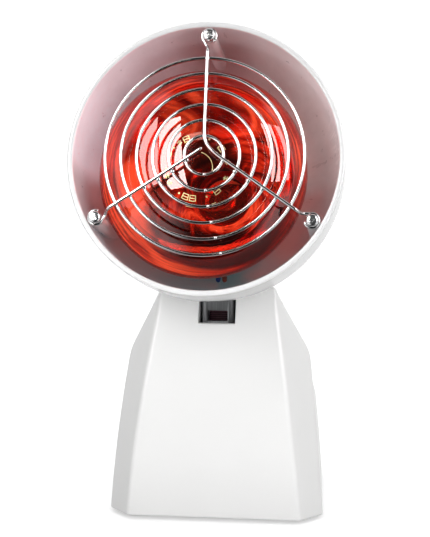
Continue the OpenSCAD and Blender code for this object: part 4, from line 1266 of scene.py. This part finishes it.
tc = wnode("ShaderNodeTexCoord")
nrm = wnode("ShaderNodeVectorMath", (tc.outputs["Generated"],), operation="NORMALIZE")
sepw = wnode("ShaderNodeSeparateXYZ", (nrm.outputs[0],))
az = wmath("MULTIPLY", wmath("ARCTAN2", sepw.outputs[0], wmath("MULTIPLY", sepw.outputs[1], -1.0)), 180 / math.pi)
el = wmath("MULTIPLY", wmath("ARCSINE", sepw.outputs[2]), 180 / math.pi)
aaz = wmath("ABSOLUTE", az)
# dim in front, where the camera stands; light walls behind and beside; pale table far below
patches = [
    (0.03, None),
    (1.05, wmath("MULTIPLY", wband(aaz, 100, 400, 14), wband(el, -70, 100, 10))),
    (1.25, wmath("MULTIPLY", wband(az, -98, -20, 9), wband(el, -34, 7, 7))),
    (1.25, wmath("MULTIPLY", wband(az, 34, 98, 9), wband(el, -34, 4, 7))),
    (1.25, wmath("MULTIPLY", wband(az, -104, -62, 4), wband(el, 0, 62, 5))),
    (1.25, wmath("MULTIPLY", wband(az, 69, 104, 4), wband(el, 0, 60, 5))),
    (0.95, wband(el, -120, -66, 4)),
]
acc = None
for v, f in patches:
    q = wmath("MULTIPLY", f, v) if f is not None else v
    acc = q if acc is None else wmath("MAXIMUM", acc, q)
both = wnode("ShaderNodeCombineXYZ", (acc, acc, acc)).outputs[0]
bg = wnode("ShaderNodeBackground", (both, 1.0))
bgw = wnode("ShaderNodeBackground", ((1, 1, 1, 1), 1.06))
lp = wnode("ShaderNodeLightPath")
mixw = wnode("ShaderNodeMixShader", (lp.outputs["Is Camera Ray"], bg.outputs[0], bgw.outputs[0]))
wn.links.new(mixw.outputs[0], wo.inputs[0])
world.cycles_visibility.diffuse = False

TARGET = Vector((0, -0.055, 0.17))


def soft(name, az, elev, dist, w, h, radiance, roll=0.0, color=(1, 1, 1), diffuse=True, glossy=True, target=TARGET):
    """A rectangular soft light. az is measured from -Y, towards +X."""
    d = Vector((math.sin(rad(az)) * math.cos(rad(elev)), -math.cos(rad(az)) * math.cos(rad(elev)), math.sin(rad(elev))))
    l = bpy.data.lights.new(name, "AREA")
    l.shape = "RECTANGLE"
    l.size, l.size_y = w, h
    l.energy = radiance * math.pi * w * h
    l.color = color
    o = bpy.data.objects.new(name, l)
    scene.collection.objects.link(o)
    o.location = target + d * dist
    o.rotation_mode = "QUATERNION"
    o.rotation_quaternion = (-d).to_track_quat("-Z", "Y") @ Matrix.Rotation(rad(roll), 3, "Z").to_quaternion()
    o.visible_camera = False
    o.visible_diffuse = diffuse
    o.visible_glossy = glossy
    return o


# large soft boxes for the light on the surfaces
soft("left_box", -38, 22, 1.3, 0.75, 0.95, 2.9, glossy=False)
soft("right_box", 48, 20, 1.3, 0.75, 0.95, 4.3, glossy=False)
soft("front_fill", 6, 2, 1.6, 1.3, 0.7, 0.64, glossy=False)
soft("low_fill", 4, 0, 0.20, 0.4, 0.04, 8.0, glossy=False, target=Vector((0, -0.08, 0.022)))
soft("top_box", 184, 76, 1.5, 2.4, 2.4, 1.55, glossy=False)
soft("left_back", -128, 20, 1.5, 1.3, 1.1, 1.5, glossy=False)
soft("right_back", 132, 20, 1.5, 1.3, 1.1, 1.5, glossy=False)
# the bright windows that mirror in glass and chrome
soft("left_window_a", -26, 30, 1.25, 0.24, 0.78, 13.0, roll=22, diffuse=False)
soft("left_window_b", -41, 29, 1.25, 0.26, 0.80, 7.0, roll=34, diffuse=False)
soft("right_window_a", 42.5, 31, 1.25, 0.23, 0.80, 9.0, roll=-8, diffuse=False)
soft("right_window_b", 59, 29, 1.25, 0.20, 0.80, 6.5, roll=-12, diffuse=False, color=(1.0, 0.93, 0.98))
soft("left_window_c", -14.5, 36.5, 1.25, 0.15, 0.09, 3.2, roll=20, color=(1.0, 0.95, 0.8), diffuse=False)

cam = bpy.data.cameras.new("camera")
cam.sensor_fit = "AUTO"
cam.sensor_width = 24.0
cam.lens = 1600 * 24 / 537
cam.clip_start, cam.clip_end = 0.05, 60
co = bpy.data.objects.new("camera", cam)
scene.collection.objects.link(co)
yaw, el_, roll = rad(6.538), rad(7.962), rad(0.127)
right = Vector((math.cos(yaw), math.sin(yaw), 0))
fwd = Vector((-math.sin(yaw) * math.cos(el_), math.cos(yaw) * math.cos(el_), -math.sin(el_)))
up = right.cross(fwd)
r2 = right * math.cos(roll) + up * math.sin(roll)
u2 = up * math.cos(roll) - right * math.sin(roll)
co.matrix_world = Matrix(((r2.x, u2.x, -fwd.x, 0.08534), (r2.y, u2.y, -fwd.y, -0.76913), (r2.z, u2.z, -fwd.z, 0.22635), (0, 0, 0, 1)))
scene.camera = co
